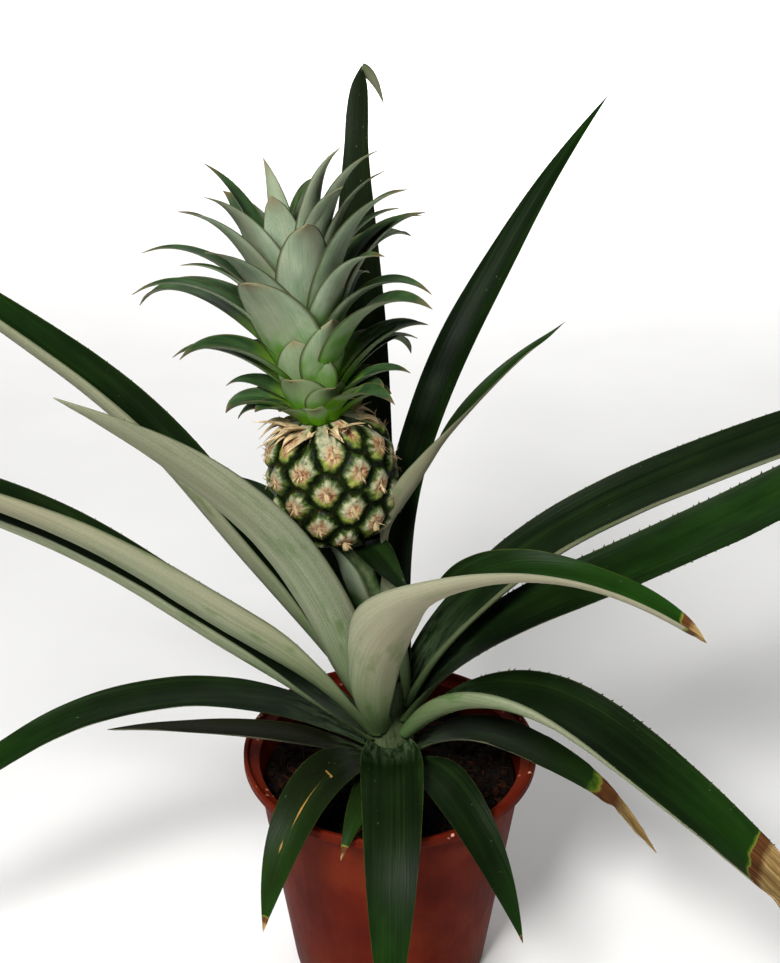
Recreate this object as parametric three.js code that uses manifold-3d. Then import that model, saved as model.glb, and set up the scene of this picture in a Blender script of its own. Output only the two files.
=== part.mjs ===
// Potted ornamental pineapple: a thin plastic pot of soil, a short stem with a rosette of arching
// strap leaves, and a small fruit on a leaning stalk that carries a dense leafy crown.
// Millimetres, +Z up. The origin is the centre of the pot's flat underside, on the table.
// Headings are degrees around +Z from +X; the fruit leans to -X and the front leaf points to -Y.
import * as THREE from "three";
import { mergeVertices } from "three/addons/utils/BufferGeometryUtils.js";
import Module from "manifold-3d";

const wasm = await Module();
wasm.setup();

// ---------------------------------------------------------------- driving dimensions (mm)
const CLEARANCE = 0.3; // gap left between any two neighbouring pieces

const POT_HEIGHT = 115;
const POT_RIM_RADIUS = 65;
const POT_LIP_HEIGHT = 4.5;
const POT_LIP_WIDTH = 2.2;
const POT_SHOULDER_RADIUS = 59.5; // outside of the body just under the lip
const POT_FOOT_RADIUS = 45;
const POT_WALL = 1.4;
const POT_FLOOR = 1.8;
const DRAIN_HOLES = 8;
const DRAIN_RADIUS = 4;
const DRAIN_CIRCLE = 33;

const SOIL_TOP = 100;
const SOIL_UNEVENNESS = 1.6;
const SOIL_LEVEL_RADIUS = 17; // level ground right around the stem

const STEM_TOP = 150;
const STEM_FOOT_RADIUS = 12.5;
const STEM_HEAD_RADIUS = 7;

const FRUIT_FOOT = new THREE.Vector3(-19, -2, 224);
const FRUIT_HEIGHT = 52;
const FRUIT_RADIUS = 26.5;
const FRUIT_LEAN = 9; // degrees towards -X, shared by the crown
const EYE_RISE = 1; // each eye sits this much higher than the one before
const EYE_REACH = 7.4; // half the distance between neighbouring eyes
const EYE_HEIGHT = 1.5;

const STALK_RADIUS = 5.2;

const CROWN_CORE_HEIGHT = 42;
const CROWN_CORE_RADIUS = 8;
const CROWN_CORE_TIP_RADIUS = 4.2;
const CROWN_LEAVES = 30;
const CROWN_LEAF_THICKNESS = 0.7;
const CROWN_TURN = 171; // heading of the lowest crown leaf

const LEAF_THICKNESS = 1.5;
const GOLDEN_ANGLE = 137.508;

// ---------------------------------------------------------------- colours
const TERRACOTTA = { color: 0x8a3322, roughness: 0.42, metalness: 0 };
const WET_SOIL = { color: 0x1d130e, roughness: 0.95, metalness: 0 };
const STEM_GREEN = { color: 0x8d9b78, roughness: 0.6, metalness: 0 };
const STALK_GREEN = { color: 0x7f9a68, roughness: 0.6, metalness: 0 };
const LEAF_GREEN = { color: 0x23401f, roughness: 0.4, metalness: 0 };
const PALE_LEAF = { color: 0x8f967c, roughness: 0.6, metalness: 0 };
const CROWN_GREEN = { color: 0x84967c, roughness: 0.6, metalness: 0 };
const CROWN_HEART = { color: 0x86a83f, roughness: 0.55, metalness: 0 };
const FRUIT_SKIN = { color: 0x6f6a3a, roughness: 0.5, metalness: 0 };
const DRY_BRACT = { color: 0xc9a57c, roughness: 0.85, metalness: 0 };

// ---------------------------------------------------------------- helpers
const plant = new THREE.Group();
plant.name = "potted_pineapple";

const radians = THREE.MathUtils.degToRad;
const mix = THREE.MathUtils.lerp;

/** Adds one named mesh with its own material. */
function addPiece(name, geometry, look, placement = new THREE.Matrix4()) {
  const mesh = new THREE.Mesh(geometry, new THREE.MeshStandardMaterial(look));
  mesh.name = name;
  mesh.applyMatrix4(placement);
  plant.add(mesh);
}

/** A value at place s (0 to 1) on a smooth line through evenly spaced values. */
function along(values, s) {
  const last = values.length - 1;
  const place = Math.min(Math.max(s, 0), 0.999999) * last;
  const i = Math.floor(place);
  const t = place - i;
  const before = values[Math.max(i - 1, 0)];
  const from = values[i];
  const to = values[i + 1];
  const after = values[Math.min(i + 2, last)];
  const bend = 2 * before - 5 * from + 4 * to - after;
  const twist = 3 * (from - to) + after - before;
  return from + 0.5 * t * (to - before + t * (bend + t * twist));
}

/** A closed body through rings with an even count of points; a ring of one point is a tip. */
function loft(rings) {
  const points = [];
  const triangles = [];
  const starts = rings.map((ring) => {
    points.push(...ring);
    return points.length - ring.length;
  });
  for (let i = 0; i + 1 < rings.length; i++) {
    joinRings(triangles, starts[i], rings[i].length, starts[i + 1], rings[i + 1].length);
  }
  for (const [end, forward] of [[0, false], [rings.length - 1, true]]) {
    if (rings[end].length > 1) {
      closeRing(triangles, starts[end], rings[end].length, forward);
    }
  }
  const geometry = new THREE.BufferGeometry().setFromPoints(points);
  geometry.setIndex(triangles);
  geometry.computeVertexNormals();
  return geometry;
}

/**
 * The band of triangles between two neighbouring rings, either of which may be one point. Halfway
 * round, the quads are split the other way, so that a thin leaf's two skins fold along the same lines.
 */
function joinRings(triangles, first, firstCount, second, secondCount) {
  const count = Math.max(firstCount, secondCount);
  for (let j = 0; j < count; j++) {
    const next = (j + 1) % count;
    if (firstCount === 1) {
      triangles.push(first, second + next, second + j);
    } else if (secondCount === 1) {
      triangles.push(first + j, first + next, second);
    } else if (2 * j < count) {
      triangles.push(first + j, first + next, second + j);
      triangles.push(first + next, second + next, second + j);
    } else {
      triangles.push(first + j, first + next, second + next);
      triangles.push(first + j, second + next, second + j);
    }
  }
}

/** Closes an end ring with a strip across it, from its first point to the one halfway round. */
function closeRing(triangles, start, count, forward) {
  for (let j = 0; 2 * j < count; j++) {
    const left = [start + j, start + j + 1];
    const right = [start + ((count - j) % count), start + count - j - 1];
    for (const [a, b, c] of [[left[0], left[1], right[1]], [left[0], right[1], right[0]]]) {
      if (a !== b && b !== c && a !== c) {
        triangles.push(...(forward ? [a, b, c] : [c, b, a]));
      }
    }
  }
}

/** A level ring around the Z axis; radiusAt and heightAt take the angle in radians. */
function levelRing(sides, radiusAt, heightAt) {
  const ring = [];
  for (let j = 0; j < sides; j++) {
    const angle = (2 * Math.PI * j) / sides;
    const radius = radiusAt(angle);
    ring.push(new THREE.Vector3(radius * Math.cos(angle), radius * Math.sin(angle), heightAt(angle)));
  }
  return ring;
}

/** A body of revolution around Z from a closed or axis-to-axis outline of [radius, height]. */
function turned(outline, sides) {
  const profile = outline.map(([radius, height]) => new THREE.Vector2(radius, height));
  return new THREE.LatheGeometry(profile, sides).rotateX(Math.PI / 2);
}

/** The manifold-3d solid of a three.js geometry. */
function toSolid(geometry) {
  const bare = geometry.clone();
  bare.deleteAttribute("normal");
  bare.deleteAttribute("uv");
  const merged = mergeVertices(bare, 1e-3);
  const made = new wasm.Mesh({
    numProp: 3,
    vertProperties: merged.attributes.position.array,
    triVerts: new Uint32Array(merged.index.array),
  });
  return new wasm.Manifold(made);
}

/** The three.js geometry of a manifold-3d solid. */
function fromSolid(solid) {
  const made = solid.getMesh();
  const geometry = new THREE.BufferGeometry();
  geometry.setAttribute("position", new THREE.BufferAttribute(made.vertProperties, 3));
  geometry.setIndex(new THREE.BufferAttribute(made.triVerts, 1));
  geometry.computeVertexNormals();
  return geometry;
}

// ---------------------------------------------------------------- pot and soil
/** Inside radius of the pot's wall at a height above the table. */
function potInside(height) {
  return mix(POT_FOOT_RADIUS, POT_SHOULDER_RADIUS, height / (POT_HEIGHT - POT_LIP_HEIGHT)) - POT_WALL;
}

const LIP_FOOT = POT_HEIGHT - POT_LIP_HEIGHT;
const FLARE_DROP = 1.5; // the wall turns outwards this far below the lip
const FLARE_INSIDE = POT_RIM_RADIUS - POT_LIP_WIDTH;
const CORNER = 0.6;
const POT_OUTLINE = [
  [0, 0],
  [POT_FOOT_RADIUS - CORNER, 0],
  [POT_FOOT_RADIUS, CORNER],
  [POT_SHOULDER_RADIUS, LIP_FOOT - FLARE_DROP],
  [POT_RIM_RADIUS - CORNER, LIP_FOOT],
  [POT_RIM_RADIUS, LIP_FOOT + CORNER],
  [POT_RIM_RADIUS, POT_HEIGHT - CORNER],
  [POT_RIM_RADIUS - CORNER, POT_HEIGHT],
  [FLARE_INSIDE + CORNER, POT_HEIGHT],
  [FLARE_INSIDE, POT_HEIGHT - CORNER],
  [FLARE_INSIDE - CORNER, LIP_FOOT + FLARE_DROP],
  [potInside(LIP_FOOT - FLARE_DROP), LIP_FOOT],
  [potInside(POT_FLOOR), POT_FLOOR],
  [0, POT_FLOOR],
];
const POT_SIDES = 56;
let pot = toSolid(turned(POT_OUTLINE, POT_SIDES));
for (let i = 0; i < DRAIN_HOLES; i++) {
  const angle = (2 * Math.PI * i) / DRAIN_HOLES;
  const hole = new THREE.CylinderGeometry(DRAIN_RADIUS, DRAIN_RADIUS, 4 * POT_FLOOR, 12);
  hole.rotateX(Math.PI / 2);
  hole.translate(DRAIN_CIRCLE * Math.cos(angle), DRAIN_CIRCLE * Math.sin(angle), 0);
  pot = pot.subtract(toSolid(hole));
}
addPiece("pot", fromSolid(pot), TERRACOTTA);

/** Height of the soil: level at the stem, gently lumpy towards the wall. */
function soilHeight(radius, angle) {
  const away = Math.max(0, radius - SOIL_LEVEL_RADIUS) / (POT_SHOULDER_RADIUS - SOIL_LEVEL_RADIUS);
  const lumps = Math.sin(3 * angle + 1) + Math.sin(7 * angle) * Math.cos(radius / 6);
  return SOIL_TOP + SOIL_UNEVENNESS * away * lumps * 0.5;
}

const SOIL_SIDES = 40;
const SOIL_FOOT = POT_FLOOR + CLEARANCE;
const soilEdge = potInside(SOIL_TOP - 2 * SOIL_UNEVENNESS) - CLEARANCE;
const soilRings = [levelRing(SOIL_SIDES, () => potInside(SOIL_FOOT) - CLEARANCE, () => SOIL_FOOT)];
for (const share of [1, 0.8, 0.6, 0.3]) {
  const radius = soilEdge * share;
  soilRings.push(levelRing(SOIL_SIDES, () => radius, (angle) => soilHeight(radius, angle)));
}
addPiece("potting_soil", loft(soilRings), WET_SOIL);

// ---------------------------------------------------------------- stem and fruit stalk
/** Radius of the short stem at a height above the table. */
function stemRadius(height) {
  const share = (height - SOIL_TOP) / (STEM_TOP - SOIL_TOP);
  return mix(STEM_FOOT_RADIUS, STEM_HEAD_RADIUS, share);
}

const STEM_SIDES = 24;
const STEM_RINGS = 6;
const stemRings = [];
for (let i = 0; i <= STEM_RINGS; i++) {
  const height = mix(SOIL_TOP + CLEARANCE, STEM_TOP, i / STEM_RINGS);
  stemRings.push(levelRing(STEM_SIDES, () => stemRadius(height), () => height));
}
addPiece("stem", loft(stemRings), STEM_GREEN);

/** The frame that carries the fruit and the crown: leaning to -X from the fruit's foot. */
const fruitPlacement = new THREE.Matrix4()
  .makeTranslation(FRUIT_FOOT)
  .multiply(new THREE.Matrix4().makeRotationY(-radians(FRUIT_LEAN)));

const STALK_SIDES = 14;
const STALK_RINGS = 8;
const stalkFoot = new THREE.Vector3(0, 0, STEM_TOP + CLEARANCE);
const stalkHead = new THREE.Vector3(0, 0, -CLEARANCE).applyMatrix4(fruitPlacement);
const stalkMiddle = new THREE.Vector3(-6, -1, mix(STEM_TOP, FRUIT_FOOT.z, 0.5));
const stalkPath = new THREE.CatmullRomCurve3([stalkFoot, stalkMiddle, stalkHead]);

/** A round section of the stalk, square to its path. */
function stalkRing(share) {
  const middle = stalkPath.getPoint(share);
  const tilt = new THREE.Vector3(0, 0, 1);
  const turn = new THREE.Quaternion().setFromUnitVectors(tilt, stalkPath.getTangent(share));
  const ring = levelRing(STALK_SIDES, () => STALK_RADIUS, () => 0);
  return ring.map((point) => point.applyQuaternion(turn).add(middle));
}

const stalkRings = [];
for (let i = 0; i <= STALK_RINGS; i++) {
  stalkRings.push(stalkRing(mix(0.01, 0.99, i / STALK_RINGS)));
}
addPiece("fruit_stalk", loft(stalkRings), STALK_GREEN);

// ---------------------------------------------------------------- fruit and its dry collar
/** Radius of the barrel-shaped fruit, without its eyes, at a height in its own frame. */
function fruitRadius(height) {
  const middle = FRUIT_HEIGHT / 2;
  const share = Math.abs(height - middle) / (middle + 1);
  return FRUIT_RADIUS * Math.sqrt(1 - share ** 4);
}

/** How far the nearest eye lifts the skin at a place on the fruit. */
function eyeLift(angle, height) {
  let nearest = EYE_REACH;
  for (let eye = 0; eye * EYE_RISE < FRUIT_HEIGHT; eye++) {
    const turn = angle - radians(GOLDEN_ANGLE) * eye;
    const around = Math.atan2(Math.sin(turn), Math.cos(turn)) * FRUIT_RADIUS;
    nearest = Math.min(nearest, Math.hypot(around, height - eye * EYE_RISE));
  }
  const fade = Math.min(1, (FRUIT_HEIGHT - height) / 10, height / 6);
  return EYE_HEIGHT * fade * (1 - (nearest / EYE_REACH) ** 2);
}

const FRUIT_SIDES = 40;
const FRUIT_RINGS = 22;
const fruitRings = [];
for (let i = 0; i <= FRUIT_RINGS; i++) {
  const height = 0.5 * FRUIT_HEIGHT * (1 - Math.cos((Math.PI * i) / FRUIT_RINGS));
  const radiusAt = (angle) => fruitRadius(height) - EYE_HEIGHT + eyeLift(angle, height);
  fruitRings.push(levelRing(FRUIT_SIDES, radiusAt, () => height));
}
addPiece("fruit", loft(fruitRings), FRUIT_SKIN, fruitPlacement);

const COLLAR_SIDES = 48;
const COLLAR_POINTS = 12;
const COLLAR_THICKNESS = 0.8;
/** A collar section: 0 at the crown's foot, 1 at the ragged outer edge. */
function collarRing(share, lift) {
  const ragged = (angle) => 0.5 + 0.5 * Math.cos(COLLAR_POINTS * angle);
  const radiusAt = (angle) => mix(11, 20.5 + 2.5 * ragged(angle), share);
  const heightAt = (angle) => FRUIT_HEIGHT + lift - 2.5 * share + 4 * share ** 2 * ragged(angle);
  return levelRing(COLLAR_SIDES, radiusAt, heightAt);
}

/** A closed ring-shaped body: the last ring is joined back to the first. */
function hoop(rings) {
  const points = rings.flat();
  const triangles = [];
  const count = rings[0].length;
  for (let i = 0; i < rings.length; i++) {
    joinRings(triangles, i * count, count, ((i + 1) % rings.length) * count, count);
  }
  const geometry = new THREE.BufferGeometry().setFromPoints(points);
  geometry.setIndex(triangles);
  geometry.computeVertexNormals();
  return geometry;
}

const collarRings = [
  collarRing(1, COLLAR_THICKNESS + CLEARANCE),
  collarRing(0.6, COLLAR_THICKNESS + CLEARANCE),
  collarRing(0, COLLAR_THICKNESS + CLEARANCE),
  collarRing(0, CLEARANCE),
  collarRing(0.6, CLEARANCE),
  collarRing(1, CLEARANCE),
];
addPiece("dry_bract_collar", hoop(collarRings), DRY_BRACT, fruitPlacement);

// ---------------------------------------------------------------- strap leaves
/** Half width of a leaf at place s: swells from the foot, then runs out to a point. */
function halfWidth(leaf, s) {
  const widest = leaf.widest ?? 0.3;
  const foot = leaf.foot ?? 0.6;
  const swell = mix(foot, 1, Math.sin((Math.PI / 2) * Math.min(1, s / widest)));
  const beyond = Math.max(0, s - widest) / (1 - widest);
  return 0.5 * leaf.width * swell * (1 - beyond ** (leaf.taper ?? 1.9));
}

/** One section of a leaf: a trough with knife edges, round from one edge by way of the under side. */
function leafSection(middle, side, up, half, curl, thickness) {
  const bend = half / curl;
  const pointAt = (u, depth) => {
    const across = Math.sin(curl * u) * (bend + depth);
    const rise = bend - Math.cos(curl * u) * (bend + depth);
    return middle.clone().addScaledVector(side, across).addScaledVector(up, rise);
  };
  const ring = [-1, -0.5, 0, 0.5, 1].map((u) => pointAt(u, 0));
  for (const u of [0.5, 0, -0.5]) {
    ring.push(pointAt(u, thickness * (1 - u * u)));
  }
  return [ring[0], ...ring.slice(1).reverse()];
}

const LEAF_STEPS = 6; // steps along the midline between two sections

/** A strap leaf: sections along a midline that rises and turns by its pitch and heading lists. */
function strapLeaf(leaf) {
  const sections = leaf.sections ?? 16;
  const middle = leaf.root.clone();
  const rings = [];
  let s = 0;
  for (let i = 0; i < sections; i++) {
    const pitch = radians(along(leaf.pitch, s));
    const heading = radians(along(leaf.heading, s));
    const roll = radians(along(leaf.roll ?? [0, 0], s));
    const level = new THREE.Vector3(-Math.sin(heading), Math.cos(heading), 0);
    const forward = headingVector(pitch, heading);
    const above = new THREE.Vector3().crossVectors(forward, level);
    const side = level.clone().multiplyScalar(Math.cos(roll)).addScaledVector(above, Math.sin(roll));
    const up = above.multiplyScalar(Math.cos(roll)).addScaledVector(level, -Math.sin(roll));
    const half = halfWidth(leaf, s);
    const clasp = half / Math.hypot(middle.x, middle.y);
    const trough = radians(along(leaf.curl, s)) * Math.min(1, s / 0.25);
    const thickness = leaf.thickness * (1 - 0.6 * s);
    rings.push(leafSection(middle, side, up, half, Math.max(clasp, trough), thickness));
    const nextS = 1 - (1 - (i + 1) / sections) ** 1.25;
    for (let k = 0; k < LEAF_STEPS; k++) {
      const place = mix(s, nextS, (k + 0.5) / LEAF_STEPS);
      const step = headingVector(radians(along(leaf.pitch, place)), radians(along(leaf.heading, place)));
      middle.addScaledVector(step, ((nextS - s) * leaf.length) / LEAF_STEPS);
    }
    s = nextS;
  }
  rings.push([middle]);
  return loft(rings);
}

/** The unit vector at a pitch above level and a heading around +Z, both in radians. */
function headingVector(pitch, heading) {
  return new THREE.Vector3(
    Math.cos(pitch) * Math.cos(heading),
    Math.cos(pitch) * Math.sin(heading),
    Math.sin(pitch),
  );
}

/** The point on the stem's surface where a leaf clasps it. */
function onStem(height, heading) {
  const radius = stemRadius(height) + CLEARANCE;
  return headingVector(0, radians(heading)).multiplyScalar(radius).setZ(height);
}

// Rosette, from the youngest leaf down. `at` is [height on the stem, heading]; pitch and heading
// run from foot to tip in degrees; `curl` is how far each margin turns up from the midrib.
const ROSETTE = [
  { name: "leaf_back_tall", at: [146, 109], length: 264, width: 26, curl: [50, 45], taper: 2.6,
    foot: 0.38, pitch: [68, 66, 67, 72, 80, 60], heading: [104, 97, 99, 79] },
  { name: "leaf_back_right", at: [142, 42], length: 281, width: 21, curl: [45, 40],
    foot: 0.4, pitch: [78, 86, 72, 53, 45, 39], heading: [44, 53, 45, 41], roll: [0, 15, 20] },
  { name: "leaf_thin_right", at: [142, 338], length: 192, width: 20, curl: [50, 50],
    foot: 0.4, pitch: [77, 94, 97, 56, 50, 42], heading: [338, 345, 8, 14, 20], roll: [0, 5, 10] },
  { name: "leaf_inner_left", at: [143, 182], length: 116, width: 24, curl: [40, 40],
    foot: 0.4, pitch: [78, 70, 63, 55, 40, 12], heading: [181, 156, 146, 150] },
  { name: "leaf_right_upper", at: [138, 15], length: 340, width: 34, curl: [35, 30], taper: 2.6,
    pitch: [68, 40, 24, 18, 13, 0], heading: [15, 8, 9, 11], roll: [0, 10, 15] },
  { name: "leaf_left_long", at: [138, 192], length: 330, width: 36, curl: [75, 70], taper: 2.2,
    foot: 0.45, pitch: [60, 55, 56, 44, 40, 20], heading: [189, 184, 191, 191], roll: [0, -8, -8] },
  { name: "leaf_front_left", at: [132, 232], length: 246, width: 31, curl: [40, 35], taper: 2.4,
    foot: 0.5, pitch: [60, 68, 61, 50, 43, 38], heading: [233, 229, 222, 220], roll: [0, 36, 35] },
  { name: "leaf_right_lower", at: [132, -5], length: 320, width: 36, curl: [35, 30], taper: 2.6,
    pitch: [65, 34, 31, 34, 26, 8], heading: [-4, -7, -4, -4], roll: [0, 10, 15] },
  { name: "leaf_front_arch", at: [129, -106], length: 236, width: 32, curl: [50, 65, 60],
    foot: 0.5, pitch: [57, 62, 53, 31, -14, -36], heading: [-105, -70, -16, -2], roll: [0, -10, -10] },
  { name: "leaf_left_middle", at: [126, 205], length: 310, width: 38, curl: [70, 75], taper: 2.2,
    foot: 0.46, pitch: [57, 42, 44, 34, 25, 5], heading: [202, 199, 198, 198], roll: [0, -5, -5] },
  { name: "leaf_front_right_big", at: [125, -35], length: 275, width: 36, curl: [35, 28],
    taper: 3, foot: 0.4, pitch: [52, 26, -19, -35, -46, -52], heading: [-37, -36, -20, -17] },
  { name: "leaf_left_lower", at: [122, 190], length: 290, width: 32, curl: [65, 70], taper: 2.2,
    foot: 0.5, pitch: [48, 40, 42, 32, 26, 5], heading: [192, 190, 191, 191], roll: [0, -5, -5] },
  { name: "leaf_front", at: [121, -90], length: 150, width: 27, curl: [20, 20], foot: 0.75,
    widest: 0.15, pitch: [25, 6, -25, -50, -65, -75], heading: [-88, -90, -92, -91] },
  { name: "leaf_left_drooping", at: [116, 166], length: 270, width: 25, curl: [30, 30],
    foot: 0.5, pitch: [32, 14, -3, -26, -35, -46], heading: [174, 195, 198, 193] },
  { name: "leaf_left_thin", at: [114, 200], length: 118, width: 18, curl: [30, 30],
    foot: 0.35, pitch: [30, 25, 21, 17, 12, 8], heading: [200, 200, 197, 196], roll: [0, 10] },
  { name: "leaf_front_left_short", at: [114, 238], length: 111, width: 24, curl: [25, 25],
    foot: 0.5, pitch: [38, 21, -8, -37, -58, -68], heading: [235, 236, 241, 241] },
  { name: "leaf_front_right_short", at: [112, -60], length: 111, width: 22, curl: [25, 25],
    foot: 0.5, pitch: [34, 19, -14, -38, -53, -61], heading: [-60, -60, -53, -50] },
  { name: "leaf_right_dry_tip", at: [114, -14], length: 131, width: 23, curl: [30, 30],
    foot: 0.5, pitch: [50, 19, -10, -25, -44, -53], heading: [-16, -25, -17, -15] },
  { name: "leaf_front_tiny", at: [108, 260], length: 70, width: 15, curl: [25, 25],
    pitch: [40, 32, 16, -6, -28, -46], heading: [262, 256, 250, 246] },
];
for (const leaf of ROSETTE) {
  const [height, heading] = leaf.at;
  const root = onStem(height, heading);
  const geometry = strapLeaf({ ...leaf, root, thickness: LEAF_THICKNESS });
  addPiece(leaf.name, geometry, LEAF_GREEN);
}

// ---------------------------------------------------------------- bracts on the fruit stalk
const STALK_BRACTS = [
  { name: "bract_under_fruit", at: [0.92, -60], length: 42, width: 17, curl: [35, 35], foot: 0.7,
    pitch: [20, -5, -15, -25, -35], heading: [-60, -55, -48, -44], look: LEAF_GREEN },
  { name: "bract_stalk_left", at: [0.45, 200], length: 40, width: 15, curl: [45, 45],
    pitch: [62, 64, 66, 55], heading: [200, 200, 200], look: PALE_LEAF },
  { name: "bract_stalk_front", at: [0.2, 278], length: 40, width: 15, curl: [50, 50],
    pitch: [84, 84, 80, 70], heading: [278, 273, 268], look: PALE_LEAF },
];
for (const bract of STALK_BRACTS) {
  const [share, heading] = bract.at;
  const outward = headingVector(0, radians(heading));
  const root = stalkPath.getPoint(share).addScaledVector(outward, STALK_RADIUS + 3 * CLEARANCE);
  const geometry = strapLeaf({ ...bract, root, thickness: 0.9, sections: 8 });
  addPiece(bract.name, geometry, bract.look);
}

// ---------------------------------------------------------------- crown
/** Radius of the crown's core at a height above the fruit. */
function coreRadius(height) {
  return mix(CROWN_CORE_RADIUS, CROWN_CORE_TIP_RADIUS, height / CROWN_CORE_HEIGHT);
}

const crownPlacement = fruitPlacement
  .clone()
  .multiply(new THREE.Matrix4().makeTranslation(0, 0, FRUIT_HEIGHT + CLEARANCE));

const CORE_SIDES = 16;
const CORE_RINGS = 4;
const coreRings = [];
for (let i = 0; i <= CORE_RINGS; i++) {
  const height = (CROWN_CORE_HEIGHT * i) / CORE_RINGS;
  coreRings.push(levelRing(CORE_SIDES, () => coreRadius(height), () => height));
}
addPiece("crown_core", loft(coreRings), CROWN_HEART, crownPlacement);

// Each crown leaf clasps the core a little higher than the one before and a golden angle round.
// From the lowest to the youngest they grow longer and more upright, so none meets another.
const CROWN_FIRST_RISE = 3.2;
const CROWN_LENGTH = [26, 46, 62, 70, 74, 74, 68];
const CROWN_WIDTH = [15, 19, 23, 24, 22, 18, 13];
const CROWN_FOOT_PITCH = [22, 42, 56, 66, 74, 81, 87];
const CROWN_DROOP = [55, 72, 78, 74, 60, 38, 14];
for (let i = 0; i < CROWN_LEAVES; i++) {
  const age = i / (CROWN_LEAVES - 1);
  const height = mix(CROWN_FIRST_RISE, CROWN_CORE_HEIGHT - 2, age);
  const heading = CROWN_TURN + GOLDEN_ANGLE * i;
  const sway = 8 * Math.sin(2.4 * i);
  const rise = along(CROWN_FOOT_PITCH, age);
  const droop = along(CROWN_DROOP, age);
  const leaf = {
    root: headingVector(0, radians(heading)).multiplyScalar(coreRadius(height) + CLEARANCE).setZ(height),
    length: along(CROWN_LENGTH, age),
    width: along(CROWN_WIDTH, age),
    curl: [35, 35],
    foot: 0.6,
    widest: 0.35,
    taper: 1.7,
    thickness: CROWN_LEAF_THICKNESS,
    sections: 9,
    pitch: [0, 0.25, 0.5, 0.75, 1].map((s) => rise - droop * s ** 1.6),
    heading: [heading, heading, heading + 0.5 * sway, heading + sway],
  };
  const name = `crown_leaf_${String(i + 1).padStart(2, "0")}`;
  addPiece(name, strapLeaf(leaf), CROWN_GREEN, crownPlacement);
}

export default plant;
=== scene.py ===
"""Looks of the potted ornamental pineapple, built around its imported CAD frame. Metres, +Z up.

Every rosette leaf is remade from its own CAD solid: the sections are read back from the solid,
smoothed and given finer shape. The crown, the fruit with its dry bracts, the soil and the pot are
remade on the CAD sizes.
"""
import math

import bmesh
import bpy
import numpy as np
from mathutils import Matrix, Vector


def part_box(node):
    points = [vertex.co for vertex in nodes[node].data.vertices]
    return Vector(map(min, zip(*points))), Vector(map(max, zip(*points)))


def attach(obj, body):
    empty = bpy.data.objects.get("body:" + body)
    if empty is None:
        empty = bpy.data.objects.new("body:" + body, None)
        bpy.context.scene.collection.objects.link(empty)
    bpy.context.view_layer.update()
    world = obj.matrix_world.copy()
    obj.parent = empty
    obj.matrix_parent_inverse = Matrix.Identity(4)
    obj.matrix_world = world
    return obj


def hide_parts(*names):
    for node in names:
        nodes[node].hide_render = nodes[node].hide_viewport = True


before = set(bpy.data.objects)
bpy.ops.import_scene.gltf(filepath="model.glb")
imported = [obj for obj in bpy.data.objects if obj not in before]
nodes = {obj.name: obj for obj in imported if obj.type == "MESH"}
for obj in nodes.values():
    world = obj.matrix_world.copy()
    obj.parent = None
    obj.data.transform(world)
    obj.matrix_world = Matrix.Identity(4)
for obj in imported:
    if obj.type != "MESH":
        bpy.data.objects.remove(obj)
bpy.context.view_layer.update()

MM = 0.001
GOLDEN_ANGLE = math.radians(137.508)

# ---------------------------------------------------------------- camera and light
CAMERA_PLACE = (0.0, -0.5257, 0.5082)
CAMERA_PITCH = math.radians(26.5)  # below level
CAMERA_LENS = 54.2
PLANT_MIDDLE = (0, 0, 0.22)

camera_data = bpy.data.cameras.new("camera")
camera_data.lens = CAMERA_LENS
camera_data.sensor_width = 36
camera = bpy.data.objects.new("camera", camera_data)
camera.location = CAMERA_PLACE
camera.rotation_euler = (math.pi / 2 - CAMERA_PITCH, 0, 0)
bpy.context.scene.collection.objects.link(camera)
bpy.context.scene.camera = camera
bpy.context.scene.view_settings.view_transform = "Standard"


def add_light(name, place, target, size, power, spread=180):
    """A square soft box at a place, facing a target; spread is its beam's angle in degrees."""
    data = bpy.data.lights.new(name, "AREA")
    data.size = size
    data.energy = power
    data.spread = math.radians(spread)
    light = bpy.data.objects.new(name, data)
    light.location = place
    x, y, z = np.subtract(target, place)
    light.rotation_euler = (math.atan2(math.hypot(x, y), -z), 0, math.atan2(y, x) - math.pi / 2)
    bpy.context.scene.collection.objects.link(light)


add_light("key_light", (-0.28, -0.62, 0.88), (-0.02, 0, 0.28), 0.28, 15)
add_light("fill_light", (0.9, -0.6, 0.6), PLANT_MIDDLE, 0.9, 2)
add_light("back_light", (0.5, 1.2, 1.3), PLANT_MIDDLE, 0.9, 2)
add_light("floor_light", (0, 3.0, 1.5), (0, 3.01, 0), 3.0, 110, 130)

world = bpy.data.worlds.new("world")
world.use_nodes = True
world.node_tree.nodes["Background"].inputs["Color"].default_value = (0.95, 0.97, 1, 1)
world.node_tree.nodes["Background"].inputs["Strength"].default_value = 0.15
bpy.context.scene.world = world


# ---------------------------------------------------------------- materials
def rgb(code):
    """A linear colour from a hexadecimal sRGB code."""
    parts = [int(code[i : i + 2], 16) / 255 for i in (0, 2, 4)]
    return tuple(p / 12.92 if p < 0.04045 else ((p + 0.055) / 1.055) ** 2.4 for p in parts)


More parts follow.
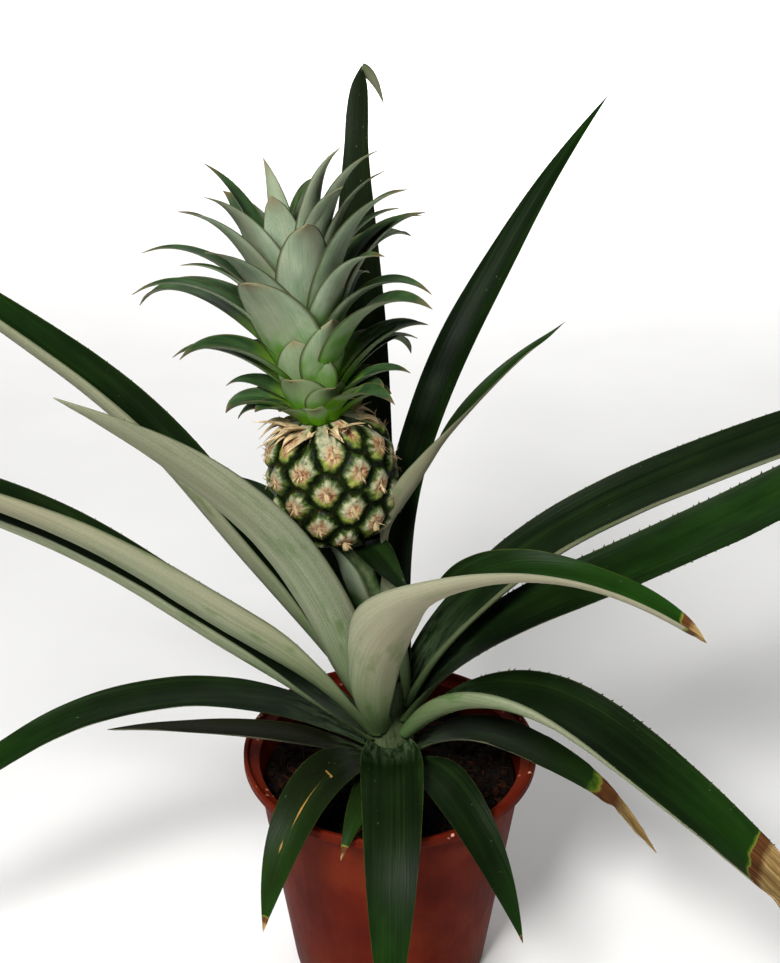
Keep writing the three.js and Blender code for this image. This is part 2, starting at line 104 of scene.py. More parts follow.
class Look:
    """A procedural material: nodes that feed one Principled shader."""

    def __init__(self, name):
        self.material = bpy.data.materials.new(name)
        self.material.use_nodes = True
        self.tree = self.material.node_tree
        self.tree.nodes.clear()
        output = self.tree.nodes.new("ShaderNodeOutputMaterial")
        self.shader = self.tree.nodes.new("ShaderNodeBsdfPrincipled")
        self.tree.links.new(self.shader.outputs["BSDF"], output.inputs["Surface"])

    def put(self, place, value):
        """Joins a socket to another node's output, or sets it to a number, vector or colour."""
        if isinstance(value, bpy.types.NodeSocket):
            self.tree.links.new(value, place)
        elif place.type == "RGBA":
            place.default_value = (*value, 1)
        else:
            place.default_value = value

    def add(self, kind, inputs, **settings):
        node = self.tree.nodes.new("ShaderNode" + kind)
        for name, value in settings.items():
            setattr(node, name, value)
        for name, value in inputs.items():
            self.put(node.inputs[name], value)
        return node

    def attribute(self, name, output="Fac"):
        return self.add("Attribute", {}, attribute_name=name).outputs[output]

    def leaf_place(self):
        """A point's place on its leaf in millimetres, share of the length and share of the half width."""
        return self.attribute("leaf_at", "Vector"), self.attribute("share"), self.attribute("edge")

    def position(self):
        return self.add("TexCoord", {}).outputs["Object"]

    def noise(self, vector, scale, detail=3.0, roughness=0.5):
        inputs = {"Vector": vector, "Scale": scale, "Detail": detail, "Roughness": roughness}
        return self.add("TexNoise", inputs).outputs["Fac"]

    def stretched(self, vector, scale):
        """The vector with each part multiplied."""
        return self.add("Mapping", {"Vector": vector, "Scale": scale}).outputs["Vector"]

    def streaks(self, at, along, across, detail=3.0, roughness=0.5):
        """Noise with its own scale along a leaf and across it."""
        return self.noise(self.stretched(at, (along, across, 1)), 1.0, detail, roughness)

    def cells(self, vector, scale):
        """Distance from the nearest of many scattered points."""
        return self.add("TexVoronoi", {"Vector": vector, "Scale": scale}).outputs["Distance"]

    def math(self, operation, first, second):
        node = self.add("Math", {}, operation=operation)
        self.put(node.inputs[0], first)
        self.put(node.inputs[1], second)
        return node.outputs[0]

    def plus(self, first, second):
        return self.math("ADD", first, second)

    def times(self, first, second):
        return self.math("MULTIPLY", first, second)

    def sum(self, *parts):
        """Sum of values, each given with its weight."""
        weighed = [value if weight == 1 else self.times(value, weight) for value, weight in parts]
        total = weighed[0]
        for part in weighed[1:]:
            total = self.plus(total, part)
        return total

    def span(self, value, low, high, to_low=0.0, to_high=1.0):
        """The value's place between low and high, held within them, on a new scale."""
        inputs = {"Value": value, "From Min": low, "From Max": high}
        inputs.update({"To Min": to_low, "To Max": to_high})
        return self.add("MapRange", inputs).outputs[0]

    def ramp(self, value, *stops):
        """A colour from stops, each a place and a colour code."""
        node = self.add("ValToRGB", {"Fac": value})
        elements = node.color_ramp.elements
        while len(elements) < len(stops):
            elements.new(0.5)
        for element, (place, code) in zip(elements, stops):
            element.position = place
            element.color = (*rgb(code), 1)
        return node.outputs["Color"]

    def mix(self, share, first, second):
        """From the first colour to the second; a mix node's sockets 6 and 7 are its colours."""
        node = self.add("Mix", {"Factor": share}, data_type="RGBA")
        self.put(node.inputs[6], first)
        self.put(node.inputs[7], second)
        return node.outputs[2]

    def tint(self, colour, share, code):
        """A colour with a share of a coded colour laid over it."""
        return self.mix(share, colour, rgb(code))

    def finish(self, colour, rough, height, depth, strength, shine):
        """Feeds the shader; depth and strength are the relief's, shine the specular level."""
        bump = self.add("Bump", {"Height": height, "Distance": depth, "Strength": strength})
        fed = {"Base Color": colour, "Roughness": rough, "Normal": bump.outputs["Normal"]}
        fed["Specular IOR Level"] = shine
        for name, value in fed.items():
            self.put(self.shader.inputs[name], value)
        return self.material


def dry_colours(look, colour, dry, at):
    """Colours of a leaf's dying tip laid over its living colour; dry is 0 at the yellow line."""
    fibres = look.streaks(at, 0.03, 1.1, 4)
    patches = look.streaks(at, 0.16, 0.14)
    waved = look.plus(dry, look.span(patches, 0.3, 0.7, -0.2, 0.2))
    tan = look.ramp(fibres, (0.3, "5e4526"), (0.5, "8c7144"), (0.7, "b89c66"))
    brown = look.ramp(fibres, (0.3, "38200f"), (0.7, "684224"))
    dead = look.mix(look.span(waved, 0.75, 1.25), brown, tan)
    line = look.mix(look.span(waved, 0.02, 0.1), rgb("7f7630"), dead)
    yellowed = look.tint(colour, look.span(waved, -0.22, -0.04), "476419")
    return look.mix(look.span(waved, -0.08, 0.04), yellowed, line)


def leaf_upper_look():
    """The waxy dark green upper side of a strap leaf."""
    look = Look("leaf_upper")
    at, share, edge = look.leaf_place()
    dry = look.attribute("dry")
    veins = look.streaks(at, 0.006, 1.9, 3, 0.6)
    bands = look.streaks(at, 0.003, 0.28, 2)
    mottle = look.streaks(at, 0.05, 0.12)
    scurf = look.streaks(at, 0.1, 0.5, 4, 0.65)
    tone = look.sum((veins, 0.4), (bands, 0.35), (mottle, 0.25))
    colour = look.ramp(tone, (0.36, "071104"), (0.5, "0d1a07"), (0.64, "182a0e"))
    fresh = look.times(look.attribute("fresh"), look.span(mottle, 0.3, 0.6, 0.5, 1))
    colour = look.tint(colour, fresh, "20480c")
    colour = look.tint(colour, look.attribute("shade"), "15130b")
    foot = look.times(look.span(share, 0.16, 0.02), look.span(scurf, 0.4, 0.62))
    colour = look.tint(colour, foot, "44553a")
    rim = look.times(look.span(edge, 0.965, 0.99), look.span(scurf, 0.35, 0.65, 0.1, 0.7))
    colour = look.tint(colour, rim, "434a20")
    colour = dry_colours(look, colour, dry, at)
    colour = look.tint(colour, look.span(look.attribute("scar"), 0.55, 0.25, 0, 0.85), "a07a3c")
    flecks = look.cells(look.stretched(at, (0.16, 0.5, 1)), 1.0)
    chosen = look.span(look.streaks(at, 0.02, 0.05, 1), 0.58, 0.64)
    fleck = look.times(look.span(flecks, 0.09, 0.04, 0, 0.55), chosen)
    colour = look.tint(colour, fleck, "6f7a60")
    waxy, withered = look.span(veins, 0.3, 0.7, 0.32, 0.5), look.span(dry, 0, 0.3, 0, 0.35)
    rough = look.sum((waxy, 1), (withered, 1), (foot, 0.25))
    return look.finish(colour, rough, look.sum((veins, 1), (scurf, 0.25)), 0.25 * MM, 0.7, 0.05)


def leaf_under_look():
    """The pale scurfy underside of a strap leaf; a shade below 0 bleaches it, above 0 darkens it."""
    look = Look("leaf_under")
    at, share, edge = look.leaf_place()
    shade = look.attribute("shade")
    veins = look.streaks(at, 0.008, 2.2, 3, 0.6)
    bands = look.streaks(at, 0.004, 0.22, 2)
    blotch = look.streaks(at, 0.035, 0.14, 4, 0.6)
    dust = look.streaks(at, 0.9, 2.4, 2, 0.6)
    tone = look.sum((veins, 0.4), (bands, 0.3), (dust, 0.3))
    colour = look.ramp(tone, (0.36, "5b6548"), (0.5, "788064"), (0.64, "93987c"))
    warm = look.streaks(at, 0.004, 0.03, 1)
    colour = look.tint(colour, look.span(warm, 0.4, 0.62, 0, 0.6), "8a8269")
    bare = look.times(look.span(blotch, 0.56, 0.68), look.span(share, 0.75, 0.1, 0.25, 0.85))
    colour = look.tint(colour, bare, "4c6433")
    colour = look.tint(colour, look.span(share, 0.32, 0.0, 0, 0.95), "45602f")
    colour = look.tint(colour, look.span(edge, 0.93, 0.99, 0, 0.8), "3f4a2b")
    bleach = look.times(look.span(shade, 0, -1), look.span(share, 0.15, 0.45))
    colour = look.tint(colour, bleach, "ddd3b8")
    colour = look.tint(colour, look.span(shade, 0, 1), "3c3c2a")
    colour = dry_colours(look, colour, look.attribute("dry"), at)
    rough = look.span(dust, 0.3, 0.7, 0.62, 0.85)
    return look.finish(colour, rough, look.sum((veins, 1), (dust, 0.5)), 0.2 * MM, 0.6, 0.2)


def crown_outer_look():
    """The outer side of a crown leaf: grey-green scurf, a thin brown margin and a fresh green foot."""
    look = Look("crown_outer")
    at, share, edge = look.leaf_place()
    low = look.attribute("shade")  # 1 at the crown's foot
    veins = look.streaks(at, 0.05, 3.2, 3, 0.6)
    cloud = look.streaks(at, 0.09, 0.16)
    dust = look.streaks(at, 2.2, 3.0, 2)
    tone = look.sum((veins, 0.4), (dust, 0.25), (cloud, 0.35))
    colour = look.ramp(tone, (0.36, "6c7d66"), (0.5, "86967a"), (0.64, "9ea78e"))
    warm = look.span(look.streaks(at, 0.03, 0.1, 1), 0.45, 0.65, 0, 0.45)
    colour = look.tint(colour, warm, "8c8a72")
    # Painted shade: the lowest crown leaves are darkened towards the crown's foot.
    colour = look.tint(colour, look.times(low, 0.75), "5d6f42")
    foot = look.sum((share, 1), (look.span(cloud, 0.3, 0.7, -0.12, 0.12), 1), (low, -0.16))
    colour = look.tint(colour, look.span(foot, 0.55, 0.16, 0, 0.8), "57813a")
    colour = look.tint(colour, look.span(foot, 0.38, 0.1), "497a06")
    colour = look.tint(colour, look.span(share, 0.86, 1.0, 0, 0.8), "7d6a4c")
    colour = look.tint(colour, look.span(edge, 0.87, 0.96, 0, 0.92), "3c3f22")
    rough = look.span(dust, 0.3, 0.7, 0.55, 0.75)
    return look.finish(colour, rough, look.plus(veins, dust), 0.12 * MM, 0.6, 0.1)


def crown_inner_look():
    """The inner side of a crown leaf: dark green, fresh green at the foot."""
    look = Look("crown_inner")
    at, share, edge = look.leaf_place()
    veins = look.streaks(at, 0.05, 3.2, 3, 0.6)
    cloud = look.streaks(at, 0.1, 0.2, 2)
    tone = look.sum((veins, 0.5), (cloud, 0.5))
    colour = look.ramp(tone, (0.36, "14260f"), (0.5, "233a1b"), (0.64, "36512a"))
    colour = look.tint(colour, look.span(share, 0.45, 0.1), "7aa52c")
    colour = look.tint(colour, look.span(share, 0.88, 1.0, 0, 0.8), "6a5236")
    colour = look.tint(colour, look.span(edge, 0.92, 0.98, 0, 0.8), "5a5634")
    return look.finish(colour, look.span(veins, 0.3, 0.7, 0.38, 0.55), veins, 0.12 * MM, 0.6, 0.25)


def fruit_look():
    """The fruit's skin: eyes of tan, cream and yellow-green streaks in dark green furrows."""
    look = Look("fruit_skin")
    place = look.position()
    gap = look.attribute("eye_gap")  # millimetres from the eye's centre
    inside = look.attribute("eye_inside")  # millimetres from the furrow's middle
    above = look.attribute("eye_above")  # millimetres above the eye's centre
    rays = look.noise(look.attribute("ray_at", "Vector"), 1.0, 4, 0.7)
    grain = look.noise(place, 900, 3, 0.6)
    cloud = look.noise(place, 190)
    mixed = look.sum((rays, 0.5), (look.noise(place, 420, 3, 0.6), 0.5))
    ragged = look.plus(gap, look.span(mixed, 0.36, 0.64, -2.2, 2.2))
    creams = look.ramp(mixed, (0.38, "565c40"), (0.5, "828669"), (0.6, "a09b7c"))
    greens = look.ramp(mixed, (0.38, "3f561c"), (0.5, "6c7a30"), (0.6, "98984e"))
    tans = look.ramp(mixed, (0.37, "5a3a24"), (0.48, "967150"), (0.6, "c4a583"))
    low = look.plus(above, look.span(cloud, 0.3, 0.7, -3, 3))
    outer = look.mix(look.span(low, 0.5, -2.5), creams, greens)
    eye = look.mix(look.span(ragged, 4.2, 2.2), outer, tans)
    eye = look.tint(eye, look.span(ragged, 0.6, -0.4, 0, 0.8), "6a3c20")
    wall = look.plus(inside, look.span(mixed, 0.36, 0.64, -0.8, 0.8))
    furrow = look.ramp(cloud, (0.35, "060b02"), (0.65, "101c05"))
    colour = look.tint(furrow, look.span(wall, 0.9, 1.8), "34471a")
    colour = look.mix(look.span(wall, 1.6, 2.9), colour, eye)
    crack = look.times(look.span(grain, 0.58, 0.66), look.span(cloud, 0.45, 0.55))
    colour = look.tint(colour, look.times(crack, 0.75), "4a2c18")
    rough = look.span(wall, 1.0, 2.4, 0.3, 0.62)
    return look.finish(colour, rough, look.sum((rays, 1), (grain, 0.7)), 0.5 * MM, 0.8, 0.06)


def dry_bract_look():
    """Dry papery bract."""
    look = Look("dry_bract")
    at, share, _ = look.leaf_place()
    fibres = look.streaks(at, 0.12, 3.0, 4, 0.65)
    cloud = look.streaks(at, 0.2, 0.35)
    colour = look.ramp(fibres, (0.32, "86704c"), (0.5, "b39b72"), (0.68, "d8c7a0"))
    colour = look.tint(colour, look.span(cloud, 0.55, 0.72, 0, 0.7), "6b3f25")
    colour = look.tint(colour, look.span(share, 0.25, 0.0, 0, 0.6), "8a8a4a")
    return look.finish(colour, look.span(fibres, 0.3, 0.7, 0.65, 0.9), fibres, 0.25 * MM, 0.8, 0.3)


def stem_look(name, pale, green):
    """Living stem or stalk: two greens with long fibres and scurf."""
    look = Look(name)
    place = look.position()
    fibres = look.noise(look.stretched(place, (1, 1, 0.08)), 1500, 3, 0.6)
    cloud = look.noise(place, 130, 4, 0.6)
    colour = look.mix(look.span(cloud, 0.38, 0.62), rgb(green), rgb(pale))
    colour = look.tint(colour, look.span(fibres, 0.3, 0.7, 0, 0.3), "76805a")
    return look.finish(colour, look.span(cloud, 0.3, 0.7, 0.5, 0.75), fibres, 0.25 * MM, 0.7, 0.2)


def pot_look():
    """Moulded terracotta-coloured plastic with dust, small scuffs and pale specks on the rim."""
    look = Look("pot_plastic")
    place = look.position()
    height = look.add("SeparateXYZ", {"Vector": place}).outputs["Z"]
    cloud = look.noise(place, 22, 4, 0.6)
    scratches = look.noise(look.stretched(place, (1, 1, 0.1)), 380, 2, 0.7)
    colour = look.ramp(cloud, (0.35, "481006"), (0.5, "531507"), (0.65, "601f0c"))
    dust = look.times(look.span(look.noise(place, 60, 5, 0.7), 0.5, 0.7), 0.22)
    colour = look.tint(colour, dust, "6a341f")
    # Darker towards the pot's foot, in cloudy patches.
    foot_darkening = look.times(look.span(height, 0.025, 0.0), look.span(cloud, 0.4, 0.6, 0.2, 0.7))
    colour = look.tint(colour, foot_darkening, "4a2c20")
    chosen = look.span(look.noise(place, 75, 1), 0.5, 0.56)
    speck = look.times(look.span(look.cells(place, 230), 0.24, 0.12), chosen)
    colour = look.tint(colour, look.times(speck, look.span(height, 0.11, 0.113)), "d8a58e")
    rough = look.sum((look.span(scratches, 0.3, 0.7, 0.44, 0.58), 1), (dust, 0.5))
    bumps = look.sum((look.noise(place, 1300, 2), 0.5), (scratches, 1))
    return look.finish(colour, rough, bumps, 0.06 * MM, 0.5, 0.03)


def soil_look():
    """Damp dark soil; each clod and fibre has its own tint."""
    look = Look("soil")
    grain = look.noise(look.position(), 700, 4, 0.7)
    tint = look.attribute("tint")
    colour = look.ramp(grain, (0.3, "030201"), (0.5, "090503"), (0.72, "1a100a"))
    colour = look.tint(colour, look.span(tint, 0.2, 1.2), "4a210f")
    colour = look.tint(colour, look.span(tint, 1.5, 2.0), "c8bfae")
    return look.finish(colour, look.span(grain, 0.3, 0.7, 0.75, 0.95), grain, 0.6 * MM, 0.8, 0.05)


LEAF_LOOKS = [leaf_upper_look(), leaf_under_look()]
CROWN_LOOKS = [crown_inner_look(), crown_outer_look()]
FRUIT_LOOK = fruit_look()
DRY_LOOK = dry_bract_look()
STEM_LOOK = stem_look("stem_skin", "3a4a2c", "1c2b12")
STALK_LOOK = stem_look("stalk_skin", "7d9164", "40602c")
POT_LOOK = pot_look()
SOIL_LOOK = soil_look()


# ---------------------------------------------------------------- mesh helpers
CELL_PRIMES = np.array([73856093, 19349663, 83492791])
SEED_PRIME = 668265263
SCRAMBLERS = ((15, 2246822519), (13, 3266489917))  # shifts and factors
WORD = 0xFFFFFFFF
HALF_WORD = 0xFFFF


def value_noise(points, seed=0):
    """Smooth noise from 0 to 1 at points (n, 3), one lattice step to a unit."""
    base = np.floor(points).astype(np.int64)
    part = points - base
    part = part * part * (3 - 2 * part)
    total = np.zeros(len(points))
    for corner in range(8):
        offset = np.array([(corner >> axis) & 1 for axis in range(3)])
        code = np.bitwise_xor.reduce((base + offset) * CELL_PRIMES, axis=1)
        code = (code ^ (seed * SEED_PRIME)) & WORD
        for shift, factor in SCRAMBLERS:
            code = ((code ^ (code >> shift)) * factor) & WORD
        value = ((code ^ (code >> 16)) & HALF_WORD) / HALF_WORD
        total += value * np.prod(np.where(offset == 1, part, 1 - part), axis=1)
    return total


def layered_noise(points, octaves=3, seed=0):
    """Value noise with finer and weaker layers, from about -1 to 1."""
    total = np.zeros(len(points))
    for octave in range(octaves):
        total += (2 * value_noise(points * 2**octave, seed + octave) - 1) / 2**octave
    return total / 1.5


def unit(vectors):
    return vectors / (np.linalg.norm(vectors, axis=-1, keepdims=True) + 1e-12)


def distances(points):
    """Each point's distance from the first, along the line through them all."""
    return np.concatenate([[0], np.cumsum(np.linalg.norm(np.diff(points, axis=0), axis=1))])


def smooth_line(values, at):
    """Values at places along evenly spaced rows, on a smooth line through them."""
    values = np.asarray(values, float)
    last = len(values) - 1
    at = np.clip(at, 0, last - 1e-6)
    i = at.astype(int)
    t = at - i
    if values.ndim == 2:
        t = t[:, None]
    before = values[np.maximum(i - 1, 0)]
    start, end = values[i], values[i + 1]
    after = values[np.minimum(i + 2, last)]
    bend = 2 * before - 5 * start + 4 * end - after
    twist = 3 * (start - end) + after - before
    return start + 0.5 * t * (end - before + t * (bend + t * twist))


def add_object(name, mesh, replaces=()):
    """One piece of the visual model, which rides on the root body."""
    piece = bpy.data.objects.new(name, mesh)
    bpy.context.scene.collection.objects.link(piece)
    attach(piece, "root")
    if replaces:
        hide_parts(*replaces)
    return piece


class Piece:
    """Collects points, faces and point attributes, then makes one object of them."""

    def __init__(self):
        self.points = []
        self.faces = []
        self.slots = []
        self.values = {}
        self.count = 0

    def add(self, points, faces, slots=0, **values):
        """Adds points (n, 3) and a list of face arrays, numbered within these points."""
        self.faces += [np.asarray(face) + self.count for face in faces]
        self.slots += list(np.broadcast_to(slots, len(faces)))
        for name, value in values.items():
            shape = (len(points), 3) if name.endswith("_at") else (len(points),)
            value = np.broadcast_to(np.asarray(value, float), shape)
            self.values.setdefault(name, []).append((self.count, value))
        self.points.append(np.asarray(points, float))
        self.count += len(points)

    def make(self, name, materials, replaces=()):
        mesh = bpy.data.meshes.new(name)
        mesh.vertices.add(self.count)
        mesh.vertices.foreach_set("co", np.concatenate(self.points).astype(np.float32).ravel())
        loops = np.concatenate([face.ravel() for face in self.faces])
        totals = np.concatenate([np.full(len(face), face.shape[1]) for face in self.faces])
        chosen = np.repeat(self.slots, [len(face) for face in self.faces])
        mesh.loops.add(len(loops))
        mesh.loops.foreach_set("vertex_index", loops.astype(np.int32))
        mesh.polygons.add(len(totals))
        starts = np.cumsum(totals) - totals
        mesh.polygons.foreach_set("loop_start", starts.astype(np.int32))
        mesh.polygons.foreach_set("material_index", chosen.astype(np.int32))
        mesh.polygons.foreach_set("use_smooth", np.ones(len(totals), bool))
        for material in materials:
            mesh.materials.append(material)
        for key, parts in self.values.items():
            is_place = key.endswith("_at")
            value = np.zeros((self.count, 3) if is_place else self.count, np.float32)
            for start, part in parts:
                value[start : start + len(part)] = part
            attribute = mesh.attributes.new(key, "FLOAT_VECTOR" if is_place else "FLOAT", "POINT")
            attribute.data.foreach_set("vector" if is_place else "value", value.ravel())
        mesh.update(calc_edges=True)
        mesh.validate()
        return add_object(name, mesh, replaces)


def band_faces(rows, sides):
    """Quads of rows of points, each row a closed ring, facing out when the rings turn clockwise."""
    row = np.arange(rows - 1)[:, None] * sides
    left = row + np.arange(sides)
    right = row + (np.arange(sides) + 1) % sides
    return np.stack([left, left + sides, right + sides, right], -1).reshape(-1, 4)


def ring_angles(sides):
    return np.arange(sides) * 2 * math.pi / sides


def rings(radius, level, sides):
    """Points (n, 3) of rings round the upright axis; radius and level have a row to a ring."""
    turn = ring_angles(sides)
    points = np.broadcast_arrays(radius * np.cos(turn), radius * np.sin(turn), level)
    return np.stack(points, -1).reshape(-1, 3)


def ring_faces(rows, sides):
    """Faces of rings stacked upwards: the band, the first ring's lid and the last one's."""
    lid = np.arange(sides)[None]
    return [band_faces(rows, sides)[:, ::-1], lid[:, ::-1], lid + (rows - 1) * sides]


# ---------------------------------------------------------------- leaves
SECTION_POINTS = 8  # of a leaf solid in CAD
HALF_SAMPLES = 40  # of a fine section, from its middle to a margin
THINNEST = 0.02 * MM
NOT_DRY = -9.0
NO_SCAR = 9.0
TOOTH_POINTS = 5


def merged_mesh(name):
    """A CAD node's distinct points, and each one's neighbours."""
    mesh = nodes[name].data
    corners = np.empty(len(mesh.vertices) * 3, np.float32)
    mesh.vertices.foreach_get("co", corners)
    points, place = np.unique(corners.reshape(-1, 3), axis=0, return_inverse=True)
    place = place.ravel()
    near = [set() for _ in points]
    for polygon in mesh.polygons:
        ring = [int(place[v]) for v in polygon.vertices]
        for one in ring:
            near[one].update(ring)
    return points.astype(float), near


def leaf_sections(name):
    """A leaf solid's sections from foot to tip, found by stepping outwards from its tip."""
    points, near = merged_mesh(name)
    for tip in range(len(points)):
        levels = [{tip}]
        seen = {tip}
        while levels[-1]:
            step = set().union(*(near[one] for one in levels[-1])) - seen
            seen |= step
            levels.append(step)
        levels.pop()
        if all(len(level) == SECTION_POINTS for level in levels[1:]):
            return [points[sorted(level)] for level in levels[:0:-1]], points[tip]
    raise ValueError(f"{name} has no tip that its sections can be counted from")


class Blade:
    """A leaf's midline and sections: middle, side, up, curl, half width and thickness, by row.

    lips are the extra turn-up of the margins at u = -1 and u = 1, and lip_widths the share of the
    half width that each takes.
    """

    def __init__(self, middle, side, up, curl, half, thickness):
        self.middle = np.asarray(middle, float)
        self.side = np.asarray(side, float)
        self.up = np.asarray(up, float)
        self.curl = np.asarray(curl, float)
        self.half = np.asarray(half, float)
        self.thickness = np.asarray(thickness, float)
        self.lips = np.zeros((len(self.middle), 2))
        self.lip_widths = np.full((len(self.middle), 2), 0.2)

    def restyle(self, curl=None, slim=None, shift=None, pull=None, lift=None, roll=None, blunt=None,
                lip=None, lip_width=None, margin=0):
        """Its own curl and roll in degrees, width as shares, and moves in millimetres along x, y and
        z, each a list from foot to tip; a blunter tip; and one margin turned up."""
        along = distances(self.middle)
        place = along / along[-1]

        def spread(values):
            return smooth_line(values, place * (len(values) - 1))

        if curl is not None:
            self.curl = np.radians(spread(curl))
        if slim is not None:
            self.half = self.half * spread(slim)
        for axis, move in enumerate((shift, pull, lift)):
            if move is not None:
                self.middle[:, axis] += spread(move) * MM
        if roll is not None:
            turn = np.radians(spread(roll))[:, None]
            side = self.side * np.cos(turn) + self.up * np.sin(turn)
            self.up = self.up * np.cos(turn) - self.side * np.sin(turn)
            self.side = side
        if blunt is not None:
            start, power = blunt
            beyond = np.clip((place - start) / (1 - start), 0, 1)
            kept = np.interp(start, place, self.half) * (1 - beyond**power) ** 0.6
            self.half = np.where(place > start, np.maximum(self.half, kept), self.half)
        if lip is not None:
            self.lips[:, margin] = np.radians(spread(lip))
            self.lip_widths[:, margin] = spread(lip_width)
        return self


def read_blade(name):
    """The blade of a CAD leaf."""
    sections, tip = leaf_sections(name)
    centres = [ring.mean(0) for ring in sections] + [tip]
    rows = []
    for number, ring in enumerate(sections):
        apart = np.linalg.norm(ring[:, None] - ring[None], axis=2)
        first, second = np.unravel_index(apart.argmax(), apart.shape)
        chord = (ring[first] + ring[second]) / 2
        rest = [k for k in range(SECTION_POINTS) if k not in (first, second)]
        rest.sort(key=lambda k: abs(apart[k, first] - apart[k, second]))
        upper, under = sorted(rest[:2], key=lambda k: np.linalg.norm(ring[k] - chord))
        above = unit(ring[upper] - ring[under])
        across = unit(ring[second] - ring[first])
        forward = centres[number + 1] - centres[number]
        if np.dot(np.cross(forward, across), above) < 0:
            across = -across
        reach = apart[first, second] / 2
        rise = max(float(np.dot(chord - ring[upper], above)), 1e-6)
        angle = 2 * math.atan2(rise, reach)
        half = angle * reach / math.sin(angle)
        rows.append((ring[upper], across, above, angle, half, apart[upper, under]))
    _, across, above, angle, _, thick = rows[-1]
    rows.append((tip, across, above, angle, 0, thick * 0.5))
    return Blade(*zip(*rows))


def grown_blade(root, length, width, pitch, heading, curl=35, foot=0.6, widest=0.35, taper=1.7,
                blunt=1, thickness=0.7 * MM, rows=14):
    """A blade grown in the fruit's frame from its root, by lists of pitch and heading in degrees."""
    place = np.linspace(0, 1, rows)
    tilt = np.radians(smooth_line(pitch, place * (len(pitch) - 1)))
    turn = np.radians(smooth_line(heading, place * (len(heading) - 1)))
    forward = np.stack([np.cos(tilt) * np.cos(turn), np.cos(tilt) * np.sin(turn), np.sin(tilt)], 1)
    side = np.stack([-np.sin(turn), np.cos(turn), np.zeros(rows)], 1)
    up = np.cross(forward, side)
    steps = (forward[1:] + forward[:-1]) / 2 * length / (rows - 1)
    middle = np.concatenate([[np.zeros(3)], np.cumsum(steps, 0)])
    swell = foot + (1 - foot) * np.sin(math.pi / 2 * np.minimum(1, place / widest))
    beyond = np.maximum(0, place - widest) / (1 - widest)
    half = 0.5 * width * swell * (1 - beyond**taper) ** blunt
    bend = np.full(rows, math.radians(curl))
    thick = thickness * (1 - 0.6 * place)
    return Blade(middle @ AXES + root, side @ AXES, up @ AXES, bend, half, thick)


def summed(slope):
    """Running sum across fine sections, zero at their middle."""
    steps = (slope[:, 1:] + slope[:, :-1]) / (2 * HALF_SAMPLES)
    total = np.concatenate([np.zeros((len(slope), 1)), np.cumsum(steps, 1)], 1)
    return total - total[:, HALF_SAMPLES, None]


def blade_points(blade, at, u, depth=0.0):
    """Points of a blade at rows `at`, across places u (-1 to 1) and depths below its upper side."""
    middle = smooth_line(blade.middle, at)[:, None]
    side = unit(smooth_line(blade.side, at))[:, None]
    up = smooth_line(blade.up, at)[:, None]
    up = unit(up - side * (up * side).sum(-1, keepdims=True))
    half = np.maximum(smooth_line(blade.half, at), THINNEST)[:, None]
    lips = smooth_line(blade.lips, at)
    widths = np.maximum(smooth_line(blade.lip_widths, at), 0.02)
    fine = np.linspace(-1, 1, 2 * HALF_SAMPLES + 1)[None]
    tilt = smooth_line(blade.curl, at)[:, None] * fine
    for margin, sign in enumerate((-1, 1)):
        start = 1 - widths[:, margin, None]
        rise = np.clip((sign * fine - start) / (1 - start), 0, 1)
        tilt = tilt + sign * lips[:, margin, None] * rise * (2 - rise)
    place = (u + 1) * HALF_SAMPLES
    low = np.minimum(place.astype(int), 2 * HALF_SAMPLES - 1)
    part = place - low

    def pick(values):
        return values[:, low] * (1 - part) + values[:, low + 1] * part

    angle = pick(tilt)
    out = pick(summed(np.cos(tilt) * half)) + np.sin(angle) * depth
    rise = pick(summed(np.sin(tilt) * half)) - np.cos(angle) * depth
    return middle + side * out[..., None] + up * rise[..., None]


def end_cap(columns):
    """Quads from a leaf's upper side to its under side, across its first section."""
    k = np.arange(1, columns - 1)
    return np.stack([k, k + 1, 2 * columns - k - 1, 2 * columns - k], 1)


